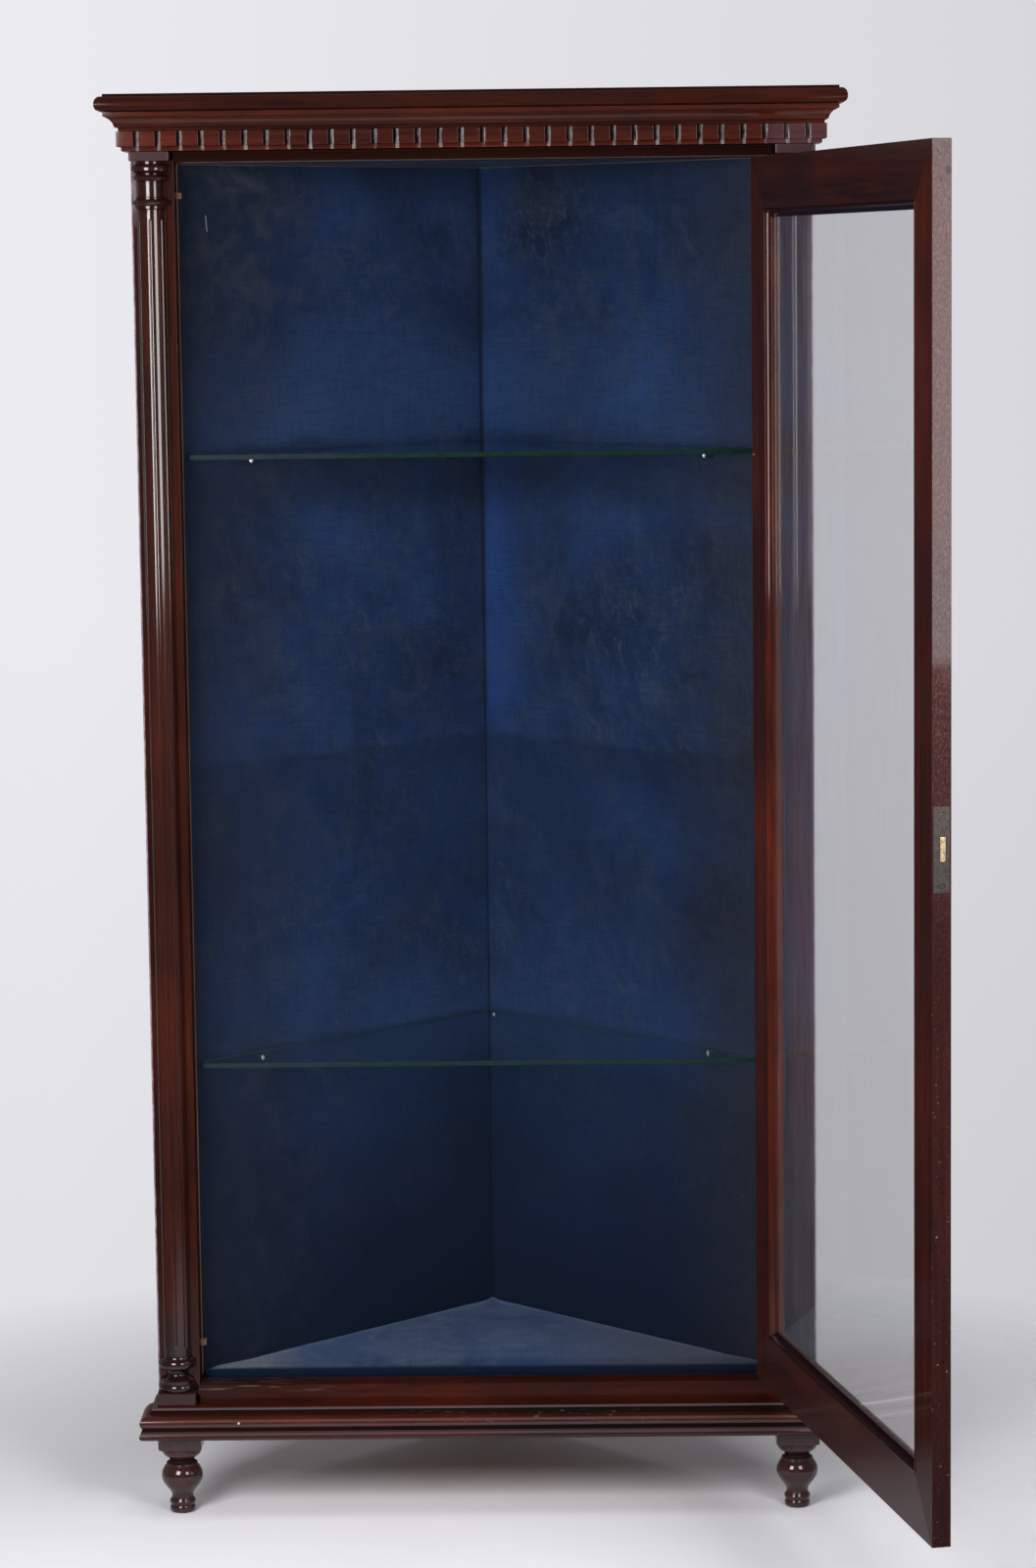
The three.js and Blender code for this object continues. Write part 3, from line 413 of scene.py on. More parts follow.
def carcase_wood(name, dark=0.0):
    """Stained softwood of the boards behind the cloth, with a share of black stain."""
    g = Graph(name, Roughness=0.7)
    along = g.stretch((1, 1, 0.04))
    fine = g.noise(along, 300, 3, 0.6)
    rings = g.remap(g.noise(along, 22, 5, 0.6, 1.2), 0.35, 0.65)
    g.color = g.mix(rings, (0.17, 0.085, 0.045), (0.32, 0.18, 0.10))
    g.stain(g.remap(fine, 0.4, 0.7, 0, 0.5), (0.10, 0.055, 0.033))
    g.stain(g.remap(g.noise(g.place, 3, 4, 0.6), 0.4, 0.75, 0, 0.6), (0.085, 0.05, 0.035))
    if dark:
        g.stain(dark, (0.012, 0.004, 0.003))
    g.set(Base_Color=g.color)
    g.bump(fine, 0.3, 0.0008)
    return g.material


wood_post = mahogany("polished_mahogany_post", "up", pale_rim_reflection, polish=0.35)
wood_column = mahogany("polished_mahogany_column", "up", dark_ends,
                       red=1.2, tone=0.95, polish=1.0, satin=0.11, shade_and_dirt=1.0)
wood_foot = mahogany("polished_mahogany_foot", "up",
                     tone=0.95, polish=0.9, satin=0.09, shade_and_dirt=0.95, reflected_lilac=0.12)
wood_cornice = mahogany("polished_mahogany_cornice", "across", red=1.05, tone=0.75, polish=0.45)
wood_cavetto = mahogany("polished_mahogany_cavetto", "across", red=1.1, tone=1.4)
# painted shade: the header's mahogany is made much darker, for the shade of the cornice over it
wood_header_shaded = mahogany("mahogany_header_shaded", "across", tone=0.3, polish=0.15)
wood_dentil = mahogany("polished_mahogany_dentils", "across", gap_wax_and_light,
                       red=1.3, tone=1.75, wear=2.5)
wood_abacus = mahogany("worn_mahogany_abacus", "across", wear=3.0, reflected_lilac=0.45)
wood_plinth = mahogany("worn_mahogany_plinth", "across",
                       tone=0.75, wear=2.5, polish=0.5, reflected_lilac=0.12)
wood_rail = mahogany("polished_mahogany_rail", "across", scratched_rail,
                     red=1.35, tone=0.88, polish=0.12)
wood_base = mahogany("polished_mahogany_base", "across", base_lines_and_chips,
                     red=1.25, tone=0.95, polish=0.65, shade_and_dirt=0.9)
# painted light: the hinge stile's mahogany is made lighter, to look lit where it stands in shade
wood_door_hinge_lightened = mahogany("mahogany_door_up_lightened", "up", red=1.1, tone=1.5, polish=0.35)
wood_door_lock = mahogany("polished_mahogany_door_edge", "up", lock_edge_wear_and_reflection,
                          red=1.1, polish=0.25, reflected_lilac=0.04)
wood_door_bottom = mahogany("polished_mahogany_door_rail", "door",
                            polish=0.4, satin=0.2, reflected_lilac=0.08)
wood_door_top = mahogany("polished_mahogany_door_top", "door",
                         polish=0.3, satin=0.2, tone=0.75, reflected_lilac=0.06)
wood_bead = mahogany("polished_mahogany_bead", "up", red=1.3, tone=1.7, polish=0.45)
wood_dark_bead = mahogany("blackened_mahogany_bead", "door", tone=0.3, wear=2.0)
softwood = carcase_wood("stained_softwood")
dark_softwood = carcase_wood("dark_stained_softwood", 0.8)


# Velvet

UPPER_SHELF = 1.28  # where the shelves meet the wall
LOWER_SHELF = 0.5445
TIDE_MARK = 0.9105
PAD_FOOT = 0.1655
PAD_TOP = (0.1682, 0.1705)
LINT_X, LINT_LOW, LINT_TOP = -0.3193, 1.5475, 1.566  # a thread on the left wall
BRUSH_SLOPE = (0, 0.7, 0)

# dark blue for painted shade and for the threads of the weave
WEAVE_AND_SHADE = (0.004, 0.007, 0.016)
TIDE = (0.0045, 0.0095, 0.023)
LOW_SHADE = (0.0030, 0.0075, 0.023)
SHELF_LIGHT = (0.020, 0.048, 0.125)
UNDER_SHELF_SHADOW = (0.004, 0.009, 0.026)
NIGHT = (0.0035, 0.0055, 0.012)
BLOTCH = (0.040, 0.043, 0.062)
LINT = (0.50, 0.52, 0.56)
LINT_SPECKS = (0.14, 0.15, 0.17)
CORNER_GLOW = (0.013, 0.048, 0.200)
# a dark seam, with painted shade in the corner
SEAM_AND_CORNER_SHADE = (0.003, 0.006, 0.014)
FADED_LEFT = (0.0095, 0.0125, 0.022)
FADED_RIGHT = (0.0250, 0.0240, 0.0235)
PAD_RIM = (0.15, 0.15, 0.16)
PAD_LEFT = (0.115, 0.115, 0.130)
PAD_RIGHT = (0.052, 0.050, 0.054)
PAD_FACE_SHADE = (0.0015, 0.0050, 0.017)


def tide_mark_and_shelf_light(g, x, z):
    """A tide mark, and painted light and shade on the cloth: darker towards the bottom, lighter
    above the shelves, and shadowed below them and below the ceiling.
    """
    level = g.math("ADD", z, g.times(g.noise(g.place, 9, 3, 0.6), 0.012))
    edge = g.remap(level, TIDE_MARK, TIDE_MARK + 0.009, 1, 0)
    g.stain(g.times(edge, g.remap(level, TIDE_MARK - 0.305, TIDE_MARK - 0.005, 0.25, 1), 0.4), TIDE)
    # painted shade: darker towards the bottom
    g.stain(g.remap(z, PAD_FOOT, 0.62, 0.95, 0.1), LOW_SHADE)
    ripple = g.math("SUBTRACT", g.noise(g.place, 6, 3, 0.6), 0.5)
    wave = g.math("ADD", z, g.times(ripple, 0.05))
    # painted light: bands above the shelves, for the light that their glass throws up
    over_upper = g.band(wave, (UPPER_SHELF + 0.006, UPPER_SHELF + 0.02),
                        (UPPER_SHELF + 0.08, UPPER_SHELF + 0.16))
    over_lower = g.band(wave, (LOWER_SHELF + 0.0055, LOWER_SHELF + 0.0155),
                        (LOWER_SHELF + 0.0555, LOWER_SHELF + 0.1355))
    painted_glow = g.math("MAXIMUM", over_upper, g.times(over_lower, 0.5))
    g.stain(g.times(painted_glow, g.remap(x, 0.0, 0.12, 1.0, 0.35), 0.6), SHELF_LIGHT)
    # painted shadow under the upper shelf and under the ceiling
    under_upper = g.times(g.remap(wave, UPPER_SHELF - 0.09, UPPER_SHELF - 0.05),
                          g.remap(z, UPPER_SHELF - 0.001, UPPER_SHELF + 0.001, 1, 0))
    under_ceiling = g.remap(wave, 1.565, 1.625)
    g.stain(g.times(g.math("MAXIMUM", under_upper, under_ceiling), 0.5), WEAVE_AND_SHADE)
    # painted shadow under the lower shelf
    under_lower = g.remap(z, LOWER_SHELF - 0.0015, LOWER_SHELF + 0.0015, 1, 0)
    g.stain(g.times(under_lower, 0.3), UNDER_SHELF_SHADOW)


def upper_left(g, x, z):
    """The dark upper left of the cloth, its pale blotches and one thread of lint."""
    night = g.times(g.remap(x, -0.16, -0.28, 0.0, 1.0), g.remap(z, 1.30, 1.50, 0.3, 1.0))
    g.stain(g.times(night, 0.55), NIGHT)
    blotch = g.remap(g.noise(g.place, 22, 6, 0.72, 0.5), 0.46, 0.64, 0.0, 0.8)
    g.stain(g.times(night, blotch), BLOTCH)
    leaning = g.math("ADD", x, g.times(g.math("SUBTRACT", LINT_TOP, z), -0.068))
    aside = g.math("ABSOLUTE", g.math("SUBTRACT", leaning, LINT_X))
    thread = g.times(g.remap(aside, 0.0003, 0.0008, 1.0, 0.0),
                     g.band(z, (LINT_LOW - 0.001, LINT_LOW), (LINT_TOP, LINT_TOP + 0.001)))
    g.stain(g.times(thread, 0.85), LINT)


def corner_and_sides(g, x, z, rubbed):
    """The bright strip right of the corner, the dark seam in it with painted shade that widens
    upwards, and the faded outer sides.
    """
    ragged = g.math("ADD", x, g.times(rubbed, 0.03))
    strip = g.times(g.remap(x, 0.0, 0.006), g.remap(ragged, 0.03, 0.075, 1.0, 0.0))
    height = g.times(g.remap(z, 0.90, 0.96), g.remap(z, 1.18, 1.24, 1.0, 0.35))
    g.stain(g.times(strip, height, 0.55), CORNER_GLOW)
    # a dark seam, with painted shade in the corner, wider higher up
    aside = g.math("ABSOLUTE", x)
    width = g.remap(z, 0.9, 1.5, 0.0020, 0.0050)
    g.stain(g.remap(g.math("DIVIDE", aside, width), 0.3, 1.0, 0.75, 0), SEAM_AND_CORNER_SHADE)
    faded = g.mix(g.remap(x, -0.1, 0.1), FADED_LEFT, FADED_RIGHT)
    g.stain(g.remap(aside, 0.22, 0.36, 0.0, 0.7), faded)


def lining_marks(g, dust, rubbed):
    """Dust in clouds and brush strokes, and the marks at their own places on the lining, painted
    light and shade among them.
    """
    x, _, z = g.axes()
    g.stain(g.remap(rubbed, 0.5, 0.78, 0, 0.5), dust)
    strokes = g.noise(g.stretch((1, 1, 0.14), BRUSH_SLOPE), 75, 7, 0.78, 0.8)
    where = g.remap(g.noise(g.place, 5.5, 4, 0.6, 0.5), 0.44, 0.60, 0.12, 0.75)
    g.stain(g.times(g.remap(strokes, 0.51, 0.66), where), dust)
    tide_mark_and_shelf_light(g, x, z)
    upper_left(g, x, z)
    corner_and_sides(g, x, z, rubbed)


def pad_marks(g, dust, rubbed):
    """Dust on the pad's top, thick along the front rim and rubbed at both ends, and painted shade
    on its front face.
    """
    x, y, z = g.axes()
    top = g.remap(z, *PAD_TOP)
    g.stain(g.times(g.remap(rubbed, 0.42, 0.72, 0, 0.75), top), dust)
    ragged = g.remap(g.noise(g.stretch((0.6, 1, 1)), 60, 5, 0.75), 0.35, 0.65, 0.35, 1)
    g.stain(g.times(g.remap(y, -0.338, -0.318, 1, 0), ragged, top, 0.8), PAD_RIM)
    drift = g.math("ADD", x, g.times(g.noise(g.place, 20, 4, 0.7), 0.09))
    g.stain(g.times(g.remap(drift, -0.235, -0.185, 0.85, 0), top), PAD_LEFT)
    g.stain(g.times(g.remap(x, 0.06, 0.22, 0.0, 0.85), top), PAD_RIGHT)
    # painted shade on the pad's front face
    g.stain(g.math("SUBTRACT", 1.0, top), PAD_FACE_SHADE)


def velvet(name, pale, deep, dust, sheen, marks=lining_marks,
           weave=((1, 1, 0.03), (0.04, 0.04, 1))):
    """Old velvet, clouded and ashy, with its own marks, painted light and shade among them, and the
    threads of its weave.
    """
    g = Graph(name, Roughness=0.92, Specular_IOR_Level=0.1, Sheen_Weight=sheen,
              Sheen_Roughness=0.45, Sheen_Tint=(0.30, 0.42, 0.72, 1))
    g.color = g.mix(g.remap(g.noise(g.place, 4.2, 5, 0.62, 0.4), 0.33, 0.68), deep, pale)
    ash = g.remap(g.noise(g.place, 11, 6, 0.7, 1.0), 0.50, 0.72, 0.0, 0.5)
    g.stain(ash, *shades(dust, 0.7))
    rubbed = g.noise(g.place, 17, 6, 0.72, 0.8)
    marks(g, dust, rubbed)
    g.stain(g.remap(g.noise(g.place, 420, 2, 0.5), 0.755, 0.78, 0.0, 0.5), LINT_SPECKS)
    thread, weft = (g.noise(g.stretch(scale), 850, 2, 0.6) for scale in weave)
    crossing = g.math("ADD", thread, weft)
    g.stain(g.remap(crossing, 0.8, 1.25, 0, 0.45), WEAVE_AND_SHADE)
    g.set(Base_Color=g.color)
    g.bump(g.math("ADD", crossing, g.times(rubbed, 2.0)), 0.25, 0.0006)
    return g.material


wall_velvet = velvet("worn_blue_velvet", (0.0140, 0.041, 0.130), (0.0065, 0.0125, 0.032),
                     (0.042, 0.060, 0.100), 0.15)
# painted shade: the ceiling cloth is a much darker copy of the wall velvet
ceiling_velvet_shaded = velvet("blue_velvet_painted_shade", (0.0035, 0.008, 0.022), (0.002, 0.0045, 0.011),
                        (0.008, 0.012, 0.022), 0.03)
pad_velvet = velvet("dusty_blue_velvet", (0.013, 0.036, 0.110), (0.008, 0.018, 0.050),
                    (0.075, 0.090, 0.125), 0.25, pad_marks, ((0.03, 1, 1), (1, 0.03, 1)))


# Metal, glass and the stops


def metal(name, color, tarnish, rough, amount):
    """Brushed metal with spots of tarnish."""
    g = Graph(name, Metallic=1.0)
    spots = g.noise(g.place, 260, 5, 0.7)
    g.color = g.mix(g.remap(spots, 0.35, 0.65, amount * 0.5, amount), color, tarnish)
    g.set(Base_Color=g.color, Roughness=g.remap(spots, 0.3, 0.7, rough, rough + 0.2))
    g.bump(g.noise(g.stretch((1, 1, 0.05)), 1800, 2, 0.5), 0.1, 0.0002)
    return g.material


EDGE_GREEN = (0.0034, 0.0223, 0.0166)
EDGE_GREY = (0.017, 0.029, 0.037)  # at the left ends of the shelves
EDGE_PALE = (0.030, 0.052, 0.055)  # the lower shelf's is paler
# dust, and a painted reflection of the pale studio
DUST_AND_REFLECTION = (0.62, 0.62, 0.68, 1)
FILM_SLANT = 0.36  # cosine of the angle of view at which the film has its plain share
LEAST_SLANT = 0.15  # and the one below which it grows no more


def ground_edge(g):
    """The shelves' green edge, with how much of it a face shows: all on an upright one."""
    ground = g.add("ShaderNodeBsdfPrincipled",
                   {"Roughness": 0.45, "IOR": 1.15, "Transmission Weight": 0.3})
    x, _, z = g.axes()
    streak = g.noise(g.place, 60, 4, 0.7)
    g.color = g.mix(g.remap(streak, 0.35, 0.65), *shades(EDGE_GREEN, 0.7, 1.3))
    left = g.times(g.remap(x, -0.2, -0.1, 1, 0), g.remap(streak, 0.35, 0.6, 0.4, 1.0))
    g.stain(left, EDGE_GREY)
    g.stain(g.remap(z, 0.6, 1.2, 0.35, 0.0), EDGE_PALE)
    g.put(ground.inputs["Base Color"], g.color)
    normal = g.add("ShaderNodeNewGeometry").outputs["True Normal"]
    level = g.math("ABSOLUTE", g.add("ShaderNodeSeparateXYZ", {0: normal}).outputs[2])
    return g.remap(level, 0.5, 0.8, 1, 0), ground.outputs[0]


def dust_and_reflection_film(g, film):
    """Dust in upright smears, with its share: it shows more, the more slanting the view, where it
    also stands for the pale studio mirrored in the pane, a painted reflection.
    """
    smear = g.noise(g.stretch((1, 1, 0.08)), 130, 4, 0.6)
    smear = g.remap(smear, 0.35, 0.7, film * 0.6, film * 1.5)
    slant = g.math("MAXIMUM", g.math("SUBTRACT", 1.0, g.facing()), LEAST_SLANT)
    # dust, with painted reflection: the share grows at slanting views
    share = g.times(smear, g.math("DIVIDE", FILM_SLANT, slant))
    return share, g.add("ShaderNodeBsdfDiffuse", {"Color": DUST_AND_REFLECTION}).outputs[0]


def clear_glass(name, tint, clear, film=0.0):
    """Glass that lamps shine through: a shelf with ground edges, or a pane with a film of dust."""
    g = Graph(name, Roughness=0.02, IOR=1.5, Transmission_Weight=1.0, Base_Color=(*tint, 1))
    share, cover = dust_and_reflection_film(g, film) if film else ground_edge(g)
    body = g.layer(share, g.shader.outputs[0], cover)
    through = g.add("ShaderNodeBsdfTransparent", {"Color": (*tint, 1)}).outputs[0]
    passed = g.math("SUBTRACT", clear, g.times(g.math("POWER", g.facing(), 5.0), clear))
    g.put(g.surface, g.layer(g.times(g.ray("Shadow"), passed), body, through))
    return g.material


def stop_material():
    g = Graph("tan_stop", Roughness=0.75)
    grain = g.noise(g.place, 500, 4, 0.7)
    g.set(Base_Color=g.mix(g.remap(grain, 0.35, 0.65), (0.14, 0.062, 0.040), (0.26, 0.14, 0.10)))
    g.bump(grain, 0.4, 0.0004)
    return g.material


aged_brass = metal("aged_brass", (0.55, 0.40, 0.18), (0.12, 0.08, 0.045), 0.25, 0.5)
dark_brass = metal("dark_brass", (0.15, 0.125, 0.115), (0.03, 0.024, 0.023), 0.38, 0.8)
pin_brass = metal("silvered_brass", (0.86, 0.82, 0.74), (0.40, 0.33, 0.24), 0.12, 0.2)
bright_brass = metal("bright_brass", (0.78, 0.62, 0.36), (0.35, 0.24, 0.12), 0.2, 0.25)
shelf_glass = clear_glass("green_edged_glass", (0.93, 0.98, 0.95), 0.92)
window_glass = clear_glass("old_window_glass", (0.992, 0.985, 0.985), 0.96, film=0.026)
tan = stop_material()


# CAD nodes: smooth curves, soft edges and materials

SHARP = math.radians(38)


def smooth_group():
    """Shades a mesh smooth, apart from edges that are sharper than SHARP."""
    group = bpy.data.node_groups.new("smooth_by_angle", "GeometryNodeTree")
    for way in ("INPUT", "OUTPUT"):
        group.interface.new_socket("Geometry", in_out=way, socket_type="NodeSocketGeometry")
    tree = Nodes(group)
    angle = tree.add("GeometryNodeInputMeshEdgeAngle").outputs["Unsigned Angle"]
    over = tree.add("FunctionNodeCompare", {"A": angle, "B": SHARP}, operation="GREATER_THAN")
    shade = "GeometryNodeSetShadeSmooth"
    chain = (
        tree.add("NodeGroupInput"),
        tree.add("GeometryNodeRemoveAttribute", {"Name": "custom_normal"}),
        tree.add(shade, {"Shade Smooth": True}),
        tree.add(shade, {"Selection": over.outputs["Result"], "Shade Smooth": False},
                 domain="EDGE"),
        tree.add("NodeGroupOutput"),
    )
    for before, after in zip(chain, chain[1:]):
        tree.put(after.inputs[0], before.outputs[0])
    return group


smoothing = smooth_group()


def soften(obj, width):
    """Joins the facets of a CAD node, rounds its edges by width, and shades its curves smooth."""
    weld = obj.modifiers.new("weld", "WELD")
    weld.merge_threshold = 0.01 * MM
    flat = obj.modifiers.new("flat", "DECIMATE")
    flat.decimate_type = "DISSOLVE"
    flat.angle_limit = math.radians(0.5)
    if width:
        edge = obj.modifiers.new("edge", "BEVEL")
        edge.width = width * MM
        edge.segments = 2
        edge.limit_method = "ANGLE"
        edge.angle_limit = SHARP
    obj.modifiers.new("smooth", "NODES").node_group = smoothing
    obj.modifiers.new("even", "WEIGHTED_NORMAL").keep_sharp = True


def dress(material, width, *names):
    for name in names:
        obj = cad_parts[name]
        obj.data.materials.clear()
        obj.data.materials.append(material)
        soften(obj, width)


def each(firsts, *lasts):
    return [f"{first}_{last}" for first in firsts for last in lasts]


LEVELS = ("upper", "lower")
dress(wood_post, 0.6, *each(HANDS, "front_post"))
dress(wood_column, 0.3, *each(HANDS, "column"))
dress(wood_abacus, 0.6, *each(HANDS, "column_abacus"))
dress(wood_plinth, 0.6, *each(HANDS, "column_plinth"))
dress(wood_foot, 0.3, *each(HANDS, "front_foot"), "rear_foot")
dress(wood_rail, 0.5, "bottom_rail")
dress(wood_header_shaded, 0.5, "header_rail")
dress(wood_base, 0.5, "base_moulding")
dress(wood_cornice, 0.4, "cornice_top")
dress(wood_cavetto, 0.4, "cavetto_moulding")
dress(wood_dentil, 0.5, "dentil_course")
dress(softwood, 0.6, *each(HANDS, "back_board"),
      "rear_corner_post", "floor_board", "base_rail", "base_rear_block")
dress(dark_softwood, 0.6, "ceiling_board")
dress(wood_door_lock, 0.6, "door_lock_stile")
dress(wood_door_hinge_lightened, 0.6, "door_hinge_stile")
dress(wood_door_bottom, 0.6, "door_bottom_rail")
dress(wood_door_top, 0.6, "door_top_rail")
dress(wood_bead, 0.6, "glazing_bead_lock", "glazing_bead_hinge")
dress(wood_dark_bead, 0.6, "glazing_bead_top", "glazing_bead_bottom")
dress(pin_brass, 0.2, *each(LEVELS, "shelf_pin_left", "shelf_pin_right", "shelf_pin_rear"))
dress(aged_brass, 0.2, *each(LEVELS, "hinge_post_leaf", "hinge_door_leaf", "hinge_pin"))
dress(dark_brass, 0.3, "lock_faceplate", "lock_case", "lock_screw_upper", "lock_screw_lower",
      "strike_plate", "keyhole_escutcheon")
dress(bright_brass, 0.3, "lock_bolt")
dress(tan, 0.5, *each(LEVELS, "buffer"))
dress(shelf_glass, 0.3, *each(LEVELS, "shelf"))
dress(window_glass, 0.0, "door_glass")


# Cloth: the linings, stretched on their boards

LINING_WIDTH = 493.0
LINING_THICK = 0.35
CEILING_WIDTH = 698
SKIN = 0.3  # a lining's distance from its board's face


def new_piece(name, verts, faces, material):
    mesh = bpy.data.meshes.new(name)
    mesh.from_pydata([tuple(v) for v in verts], [], faces)
    mesh.materials.append(material)
    for polygon in mesh.polygons:
        polygon.use_smooth = True
    obj = bpy.data.objects.new(name, mesh)
    bpy.context.scene.collection.objects.link(obj)
    return obj


def grid_faces(rows, columns):
    return [
        (r * columns + c, r * columns + c + 1, (r + 1) * columns + c + 1, (r + 1) * columns + c)
        for r in range(rows - 1)
        for c in range(columns - 1)
    ]


def thicken(obj):
    obj.modifiers.new("thick", "SOLIDIFY").thickness = LINING_THICK * MM
    obj.modifiers.new("rim", "NODES").node_group = smoothing


def wall_point(side, along, out, z):
    """A point along a back wall from the back corner, and out behind the lining's front face."""
    root = math.sqrt(0.5)
    return at(side * (along + out) * root, BACK_CORNER_Y + (out - along) * root, z)


def wall_sheet(hand):
    side = 1 if hand == "right" else -1
    low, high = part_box(f"{hand}_wall_lining")
    bottom, top = low.z / MM, high.z / MM
    columns, rows = 60, 160
    verts = []
    for r in range(rows):
        z = bottom + (top - bottom) * r / (rows - 1)
        for c in range(columns):
            along = LINING_WIDTH * c / (columns - 1)
            ripple = noise.fractal(Vector((along * 0.012, z * 0.004, side * 3.1)), 1.0, 2.0, 4)
            out = SKIN + 0.25 * max(-1, min(1, ripple)) * min(1, c / 4)
            verts.append(wall_point(side, along - out if c == 0 else along, out, z))
    faces = grid_faces(rows, columns)
    if side > 0:
        faces = [f[::-1] for f in faces]
    obj = new_piece(f"{hand}_wall_cloth", verts, faces, wall_velvet)
    thicken(obj)
    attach(obj, "carcase")
    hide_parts(f"{hand}_wall_lining")


for hand in HANDS:
    wall_sheet(hand)


def triangle_rows(front, rows, columns):
    """Points of the ceiling's triangle between the walls, row by row from the front."""
    wall_gap, tip_gap, side_limit = 0.6, 0.4, CEILING_WIDTH / 2
    reach = BACK_CORNER_Y - wall_gap * math.sqrt(2)
    points = []
    for r in range(rows):
        y = front + (reach - tip_gap - front) * r / (rows - 1)
        half = min(side_limit, reach - y)
        for c in range(columns):
            points.append((half * (2 * c / (columns - 1) - 1), y))
    return points


def ceiling_sheet():
    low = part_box("ceiling_lining")[0]
    z = low.z / MM
    front = low.y / MM + REAR_FOOT_Y
    rows, columns = 30, 60
    verts = []
    for x, y in triangle_rows(front, rows, columns):
        sag = noise.noise(Vector((x * 0.008, y * 0.01, 7.7)))
        verts.append(at(x, y, z + SKIN + 0.2 * sag))
    faces = [f[::-1] for f in grid_faces(rows, columns)]
    obj = new_piece("ceiling_cloth", verts, faces, ceiling_velvet_shaded)
    thicken(obj)
    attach(obj, "carcase")
    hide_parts("ceiling_lining")


ceiling_sheet()


# Cloth: the floor pad, swollen by a cloth simulation

PAD_REST = 12.4  # height of the pad before it swells
PAD_RISE = 4.6  # the most that its top may rise
PAD_PUSH = 1.0  # the most that a point may go sideways
PAD_INSET = 1.3  # how far the pad starts inside its place
PAD_CLEAR = 0.1  # how far it stays inside its place in the end
PAD_LIFT = 0.4  # its height above the floor board
PAD_HELD = 2.0  # the height of the part of it that is held while it swells
PAD_VOXEL = 5.0
PAD_SIDE = 349.2
PAD_WALL_GAP = 1.45
SWELL_FRAMES = 20


def pad_outline(inset):
    """The pad's corners in plan, in mm, drawn in by inset from the walls and the front."""
    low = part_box("floor_pad")[0]
    front = low.y / MM + REAR_FOOT_Y + inset
    side = PAD_SIDE - inset
    reach = BACK_CORNER_Y - PAD_WALL_GAP - inset * math.sqrt(2)
    return [(-side, front), (side, front), (side, reach - side), (0, reach), (-side, reach - side)]


def pad_blank(inset, bottom, top):
    """A closed slab over the pad's outline, cut to small even faces."""
    corners = pad_outline(inset)
    verts = [at(x, y, z) for z in (bottom, top) for x, y in corners]
    n = len(corners)
    faces = [tuple(reversed(range(n))), tuple(range(n, 2 * n))]
    faces += [(k, (k + 1) % n, n + (k + 1) % n, n + k) for k in range(n)]
    blank = new_piece("pad_blank", verts, faces, pad_velvet)
    remesh = blank.modifiers.new("even", "REMESH")
    remesh.mode = "VOXEL"
    remesh.voxel_size = PAD_VOXEL * MM
    seen = blank.evaluated_get(bpy.context.evaluated_depsgraph_get())
    mesh = bpy.data.meshes.new_from_object(seen)
    bpy.data.objects.remove(blank)
    return mesh


def swell(obj, bottom):
    """Runs the cloth under pressure with its underside held, and returns where each point goes."""
    held = obj.vertex_groups.new(name="held")
    limit = (bottom + PAD_HELD) * MM
    held.add([v.index for v in obj.data.vertices if v.co.z < limit], 1.0, "REPLACE")
    cloth_run = obj.modifiers.new("cloth", "CLOTH")
    settings = cloth_run.settings
    settings.quality = 4
    settings.mass = 0.3
    settings.tension_stiffness = 25
    settings.compression_stiffness = 25
    settings.shear_stiffness = 10
    settings.bending_stiffness = 1.5
    settings.vertex_group_mass = "held"
    settings.use_pressure = True
    settings.uniform_pressure_force = 4
    settings.effector_weights.gravity = 0
    cloth_run.point_cache.frame_start = 1
    cloth_run.point_cache.frame_end = SWELL_FRAMES
    scene = bpy.context.scene
    for step in range(1, SWELL_FRAMES + 1):
        scene.frame_set(step)
    seen = obj.evaluated_get(bpy.context.evaluated_depsgraph_get())
    moved = [v.co.copy() for v in seen.data.vertices]
    obj.modifiers.remove(cloth_run)
    scene.frame_set(1)
    return moved


def settle(old, new, bottom, corners):
    """Where a point of the pad ends: its move capped, and kept between the walls and the front."""
    step = (new - old) / MM
    up = PAD_RISE * math.tanh(max(0.0, step.z) / PAD_RISE)
    x = old.x / MM + PAD_PUSH * math.tanh(step.x / PAD_PUSH)
    y = old.y / MM + REAR_FOOT_Y + PAD_PUSH * math.tanh(step.y / PAD_PUSH)
    (left, front), (right, _), _, (_, reach), _ = corners
    x = max(left, min(right, x))
    y = max(front, y)
    over = abs(x) + y - reach
    if over > 0:
        y -= over / 2
        x -= math.copysign(over / 2, x)
    lump = noise.fractal(Vector((x * 0.011, y * 0.013, 4.2)), 1.0, 2.0, 4) * 0.5
    z = old.z / MM + up + lump * min(1.0, up / PAD_RISE)
    return at(x, y, max(bottom, z))


def pad_cushion():
    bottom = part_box("floor_pad")[0].z / MM + PAD_LIFT
    mesh = pad_blank(PAD_INSET, bottom, bottom + PAD_REST)
    obj = bpy.data.objects.new("floor_cushion", mesh)
    bpy.context.scene.collection.objects.link(obj)
    still = [v.co.copy() for v in mesh.vertices]
    corners = pad_outline(PAD_CLEAR)
    moved = swell(obj, bottom)
    for vertex, old, new in zip(mesh.vertices, still, moved):
        vertex.co = settle(old, new, bottom, corners)
    for polygon in mesh.polygons:
        polygon.use_smooth = True
    mesh.materials.clear()
    mesh.materials.append(pad_velvet)
    finer = obj.modifiers.new("finer", "SUBSURF")
    finer.levels = finer.render_levels = 1
    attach(obj, "carcase")
    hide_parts("floor_pad")


pad_cushion()


# Studio

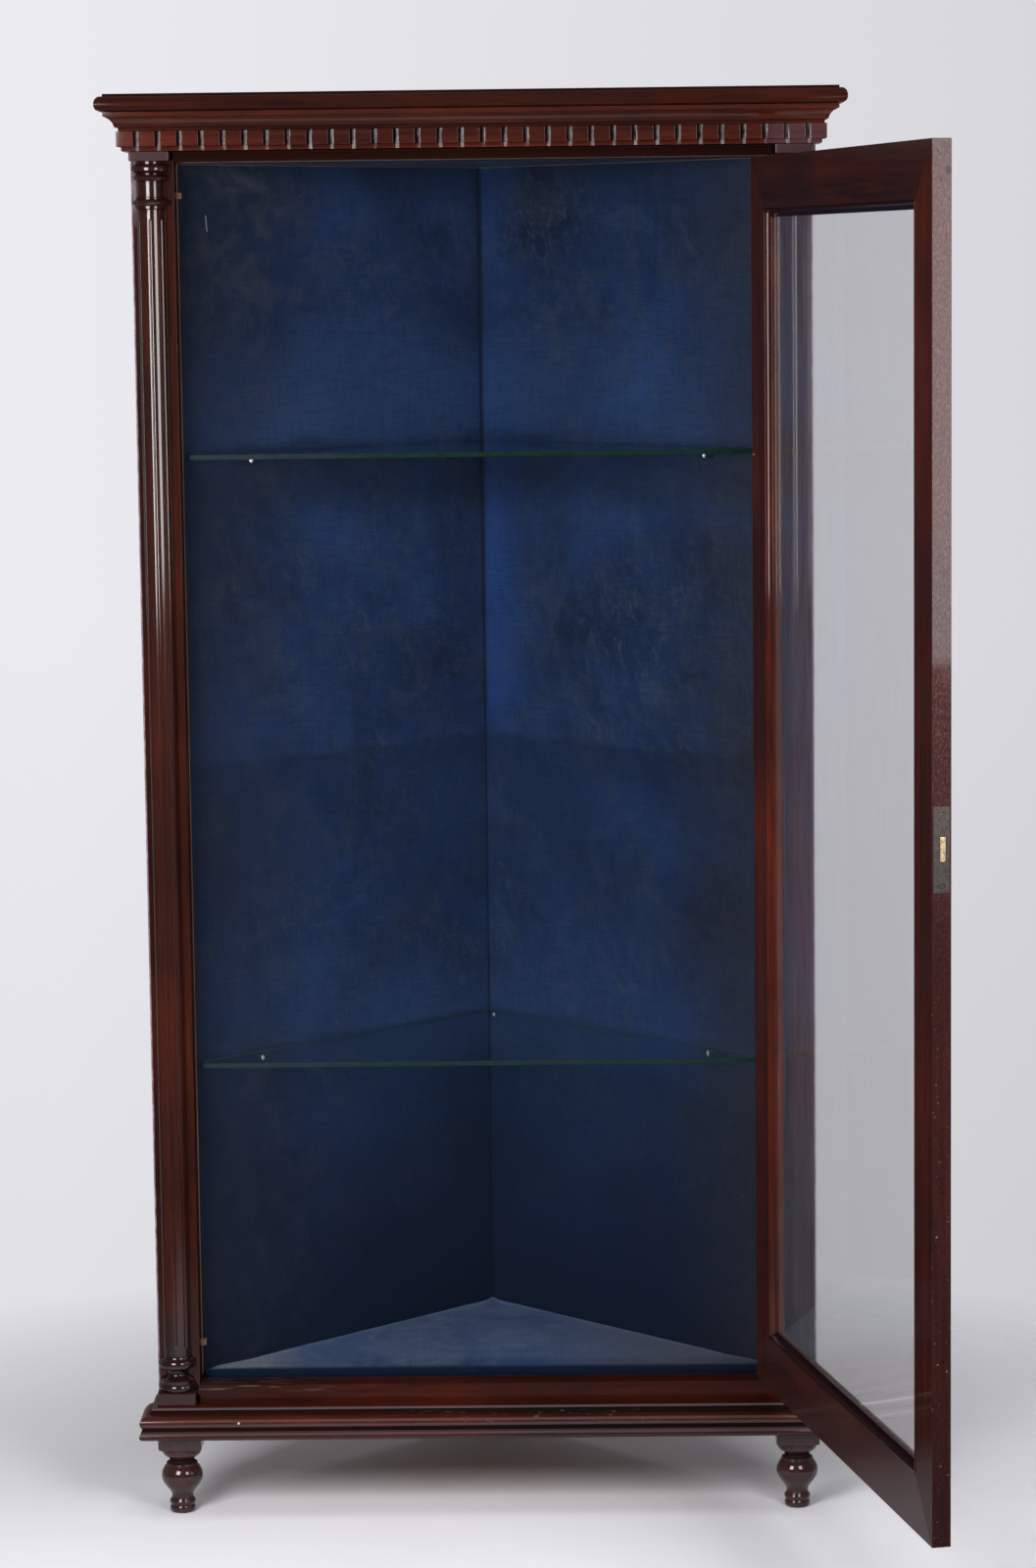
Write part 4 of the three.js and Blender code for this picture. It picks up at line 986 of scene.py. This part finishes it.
FLOOR_REACH = 4.0
OBJECT_MIDDLE = (0, -0.45, 0)
BACKGROUND = (0.985, 0.975, 1.03, 1)
AMBIENT = 0.12
LAMPS = (  # name, place, aim, width and height, watts, and whether it is mirrored
    ("top_box", (0.0, -0.9, 4.3), (0, -0.45, 0), (2.4, 2.0), 42, False),
    ("left_box", (-1.03, -2.15, 1.42), (-0.1, -0.3, 0.9), (0.8, 1.0), 44, True),
    ("right_box", (1.02, -2.2, 1.42), (0.1, -0.3, 0.9), (0.65, 0.95), 21, True),
)


def paper():
    """Pale paper that fades into the background away from the object."""
    g = Graph("pale_paper", Roughness=0.8, Specular_IOR_Level=0.2)
    cloud = g.remap(g.noise(g.place, 2.6, 4, 0.55), 0.3, 0.7)
    g.color = g.mix(cloud, (0.87, 0.86, 0.90), (0.91, 0.905, 0.94))
    # painted shade: the paper in front, under the lamps, is darker for camera rays
    paper_shade_under_lamps = g.times(g.remap(g.axes()[1], -0.60, -1.0), g.ray("Camera"), 0.45)
    g.stain(paper_shade_under_lamps, (0.30, 0.30, 0.31))
    g.set(Base_Color=g.color)
    fade = g.remap(g.vector("DISTANCE", g.place, OBJECT_MIDDLE), 0.6, 1.35)
    clear = g.add("ShaderNodeBsdfTransparent").outputs[0]
    g.put(g.surface, g.layer(fade, g.shader.outputs[0], clear))
    return g.material


def backdrop():
    """A world of plain light that shows a pale wall, straight on and through glass."""
    world = bpy.data.worlds.new("studio")
    world.use_nodes = True
    tree = Nodes(world.node_tree)
    way = tree.add("ShaderNodeTexCoord").outputs["Generated"]
    x, y, z = tree.add("ShaderNodeSeparateXYZ", {0: way}).outputs
    shown = tree.times(tree.remap(z, -0.30, -0.08, 0.70, 0.80),
                       tree.remap(x, -0.12, 0.12, 1.05, 0.86))
    straight = tree.math("MAXIMUM", tree.ray("Camera"), tree.ray("Transmission"))
    behind = tree.remap(tree.remap(y, 0.0, 0.25), 0, 1, 0, 0.2)
    shows = tree.math("MAXIMUM", straight, tree.times(tree.ray("Glossy"), behind))
    background = tree.nodes["Background"]
    background.inputs["Color"].default_value = BACKGROUND
    tree.put(background.inputs["Strength"], tree.remap(shows, 0, 1, AMBIENT, shown))
    bpy.context.scene.world = world


def lamp(name, place, aim, size, power, mirrored):
    data = bpy.data.lights.new(name, "AREA")
    data.shape = "RECTANGLE"
    data.size, data.size_y = size
    data.energy = power
    obj = bpy.data.objects.new(name, data)
    obj.location = place
    obj.rotation_euler = (Vector(aim) - Vector(place)).to_track_quat("-Z", "Y").to_euler()
    obj.visible_camera = False
    obj.visible_transmission = False
    obj.visible_glossy = mirrored
    bpy.context.scene.collection.objects.link(obj)


square = ((-1, -1), (1, -1), (1, 1), (-1, 1))
floor_corners = [(x * FLOOR_REACH, y * FLOOR_REACH, 0) for x, y in square]
new_piece("paper_floor", floor_corners, [(0, 1, 2, 3)], paper())
backdrop()
for lamp_row in LAMPS:
    lamp(*lamp_row)

bpy.context.scene.view_settings.view_transform = "Standard"
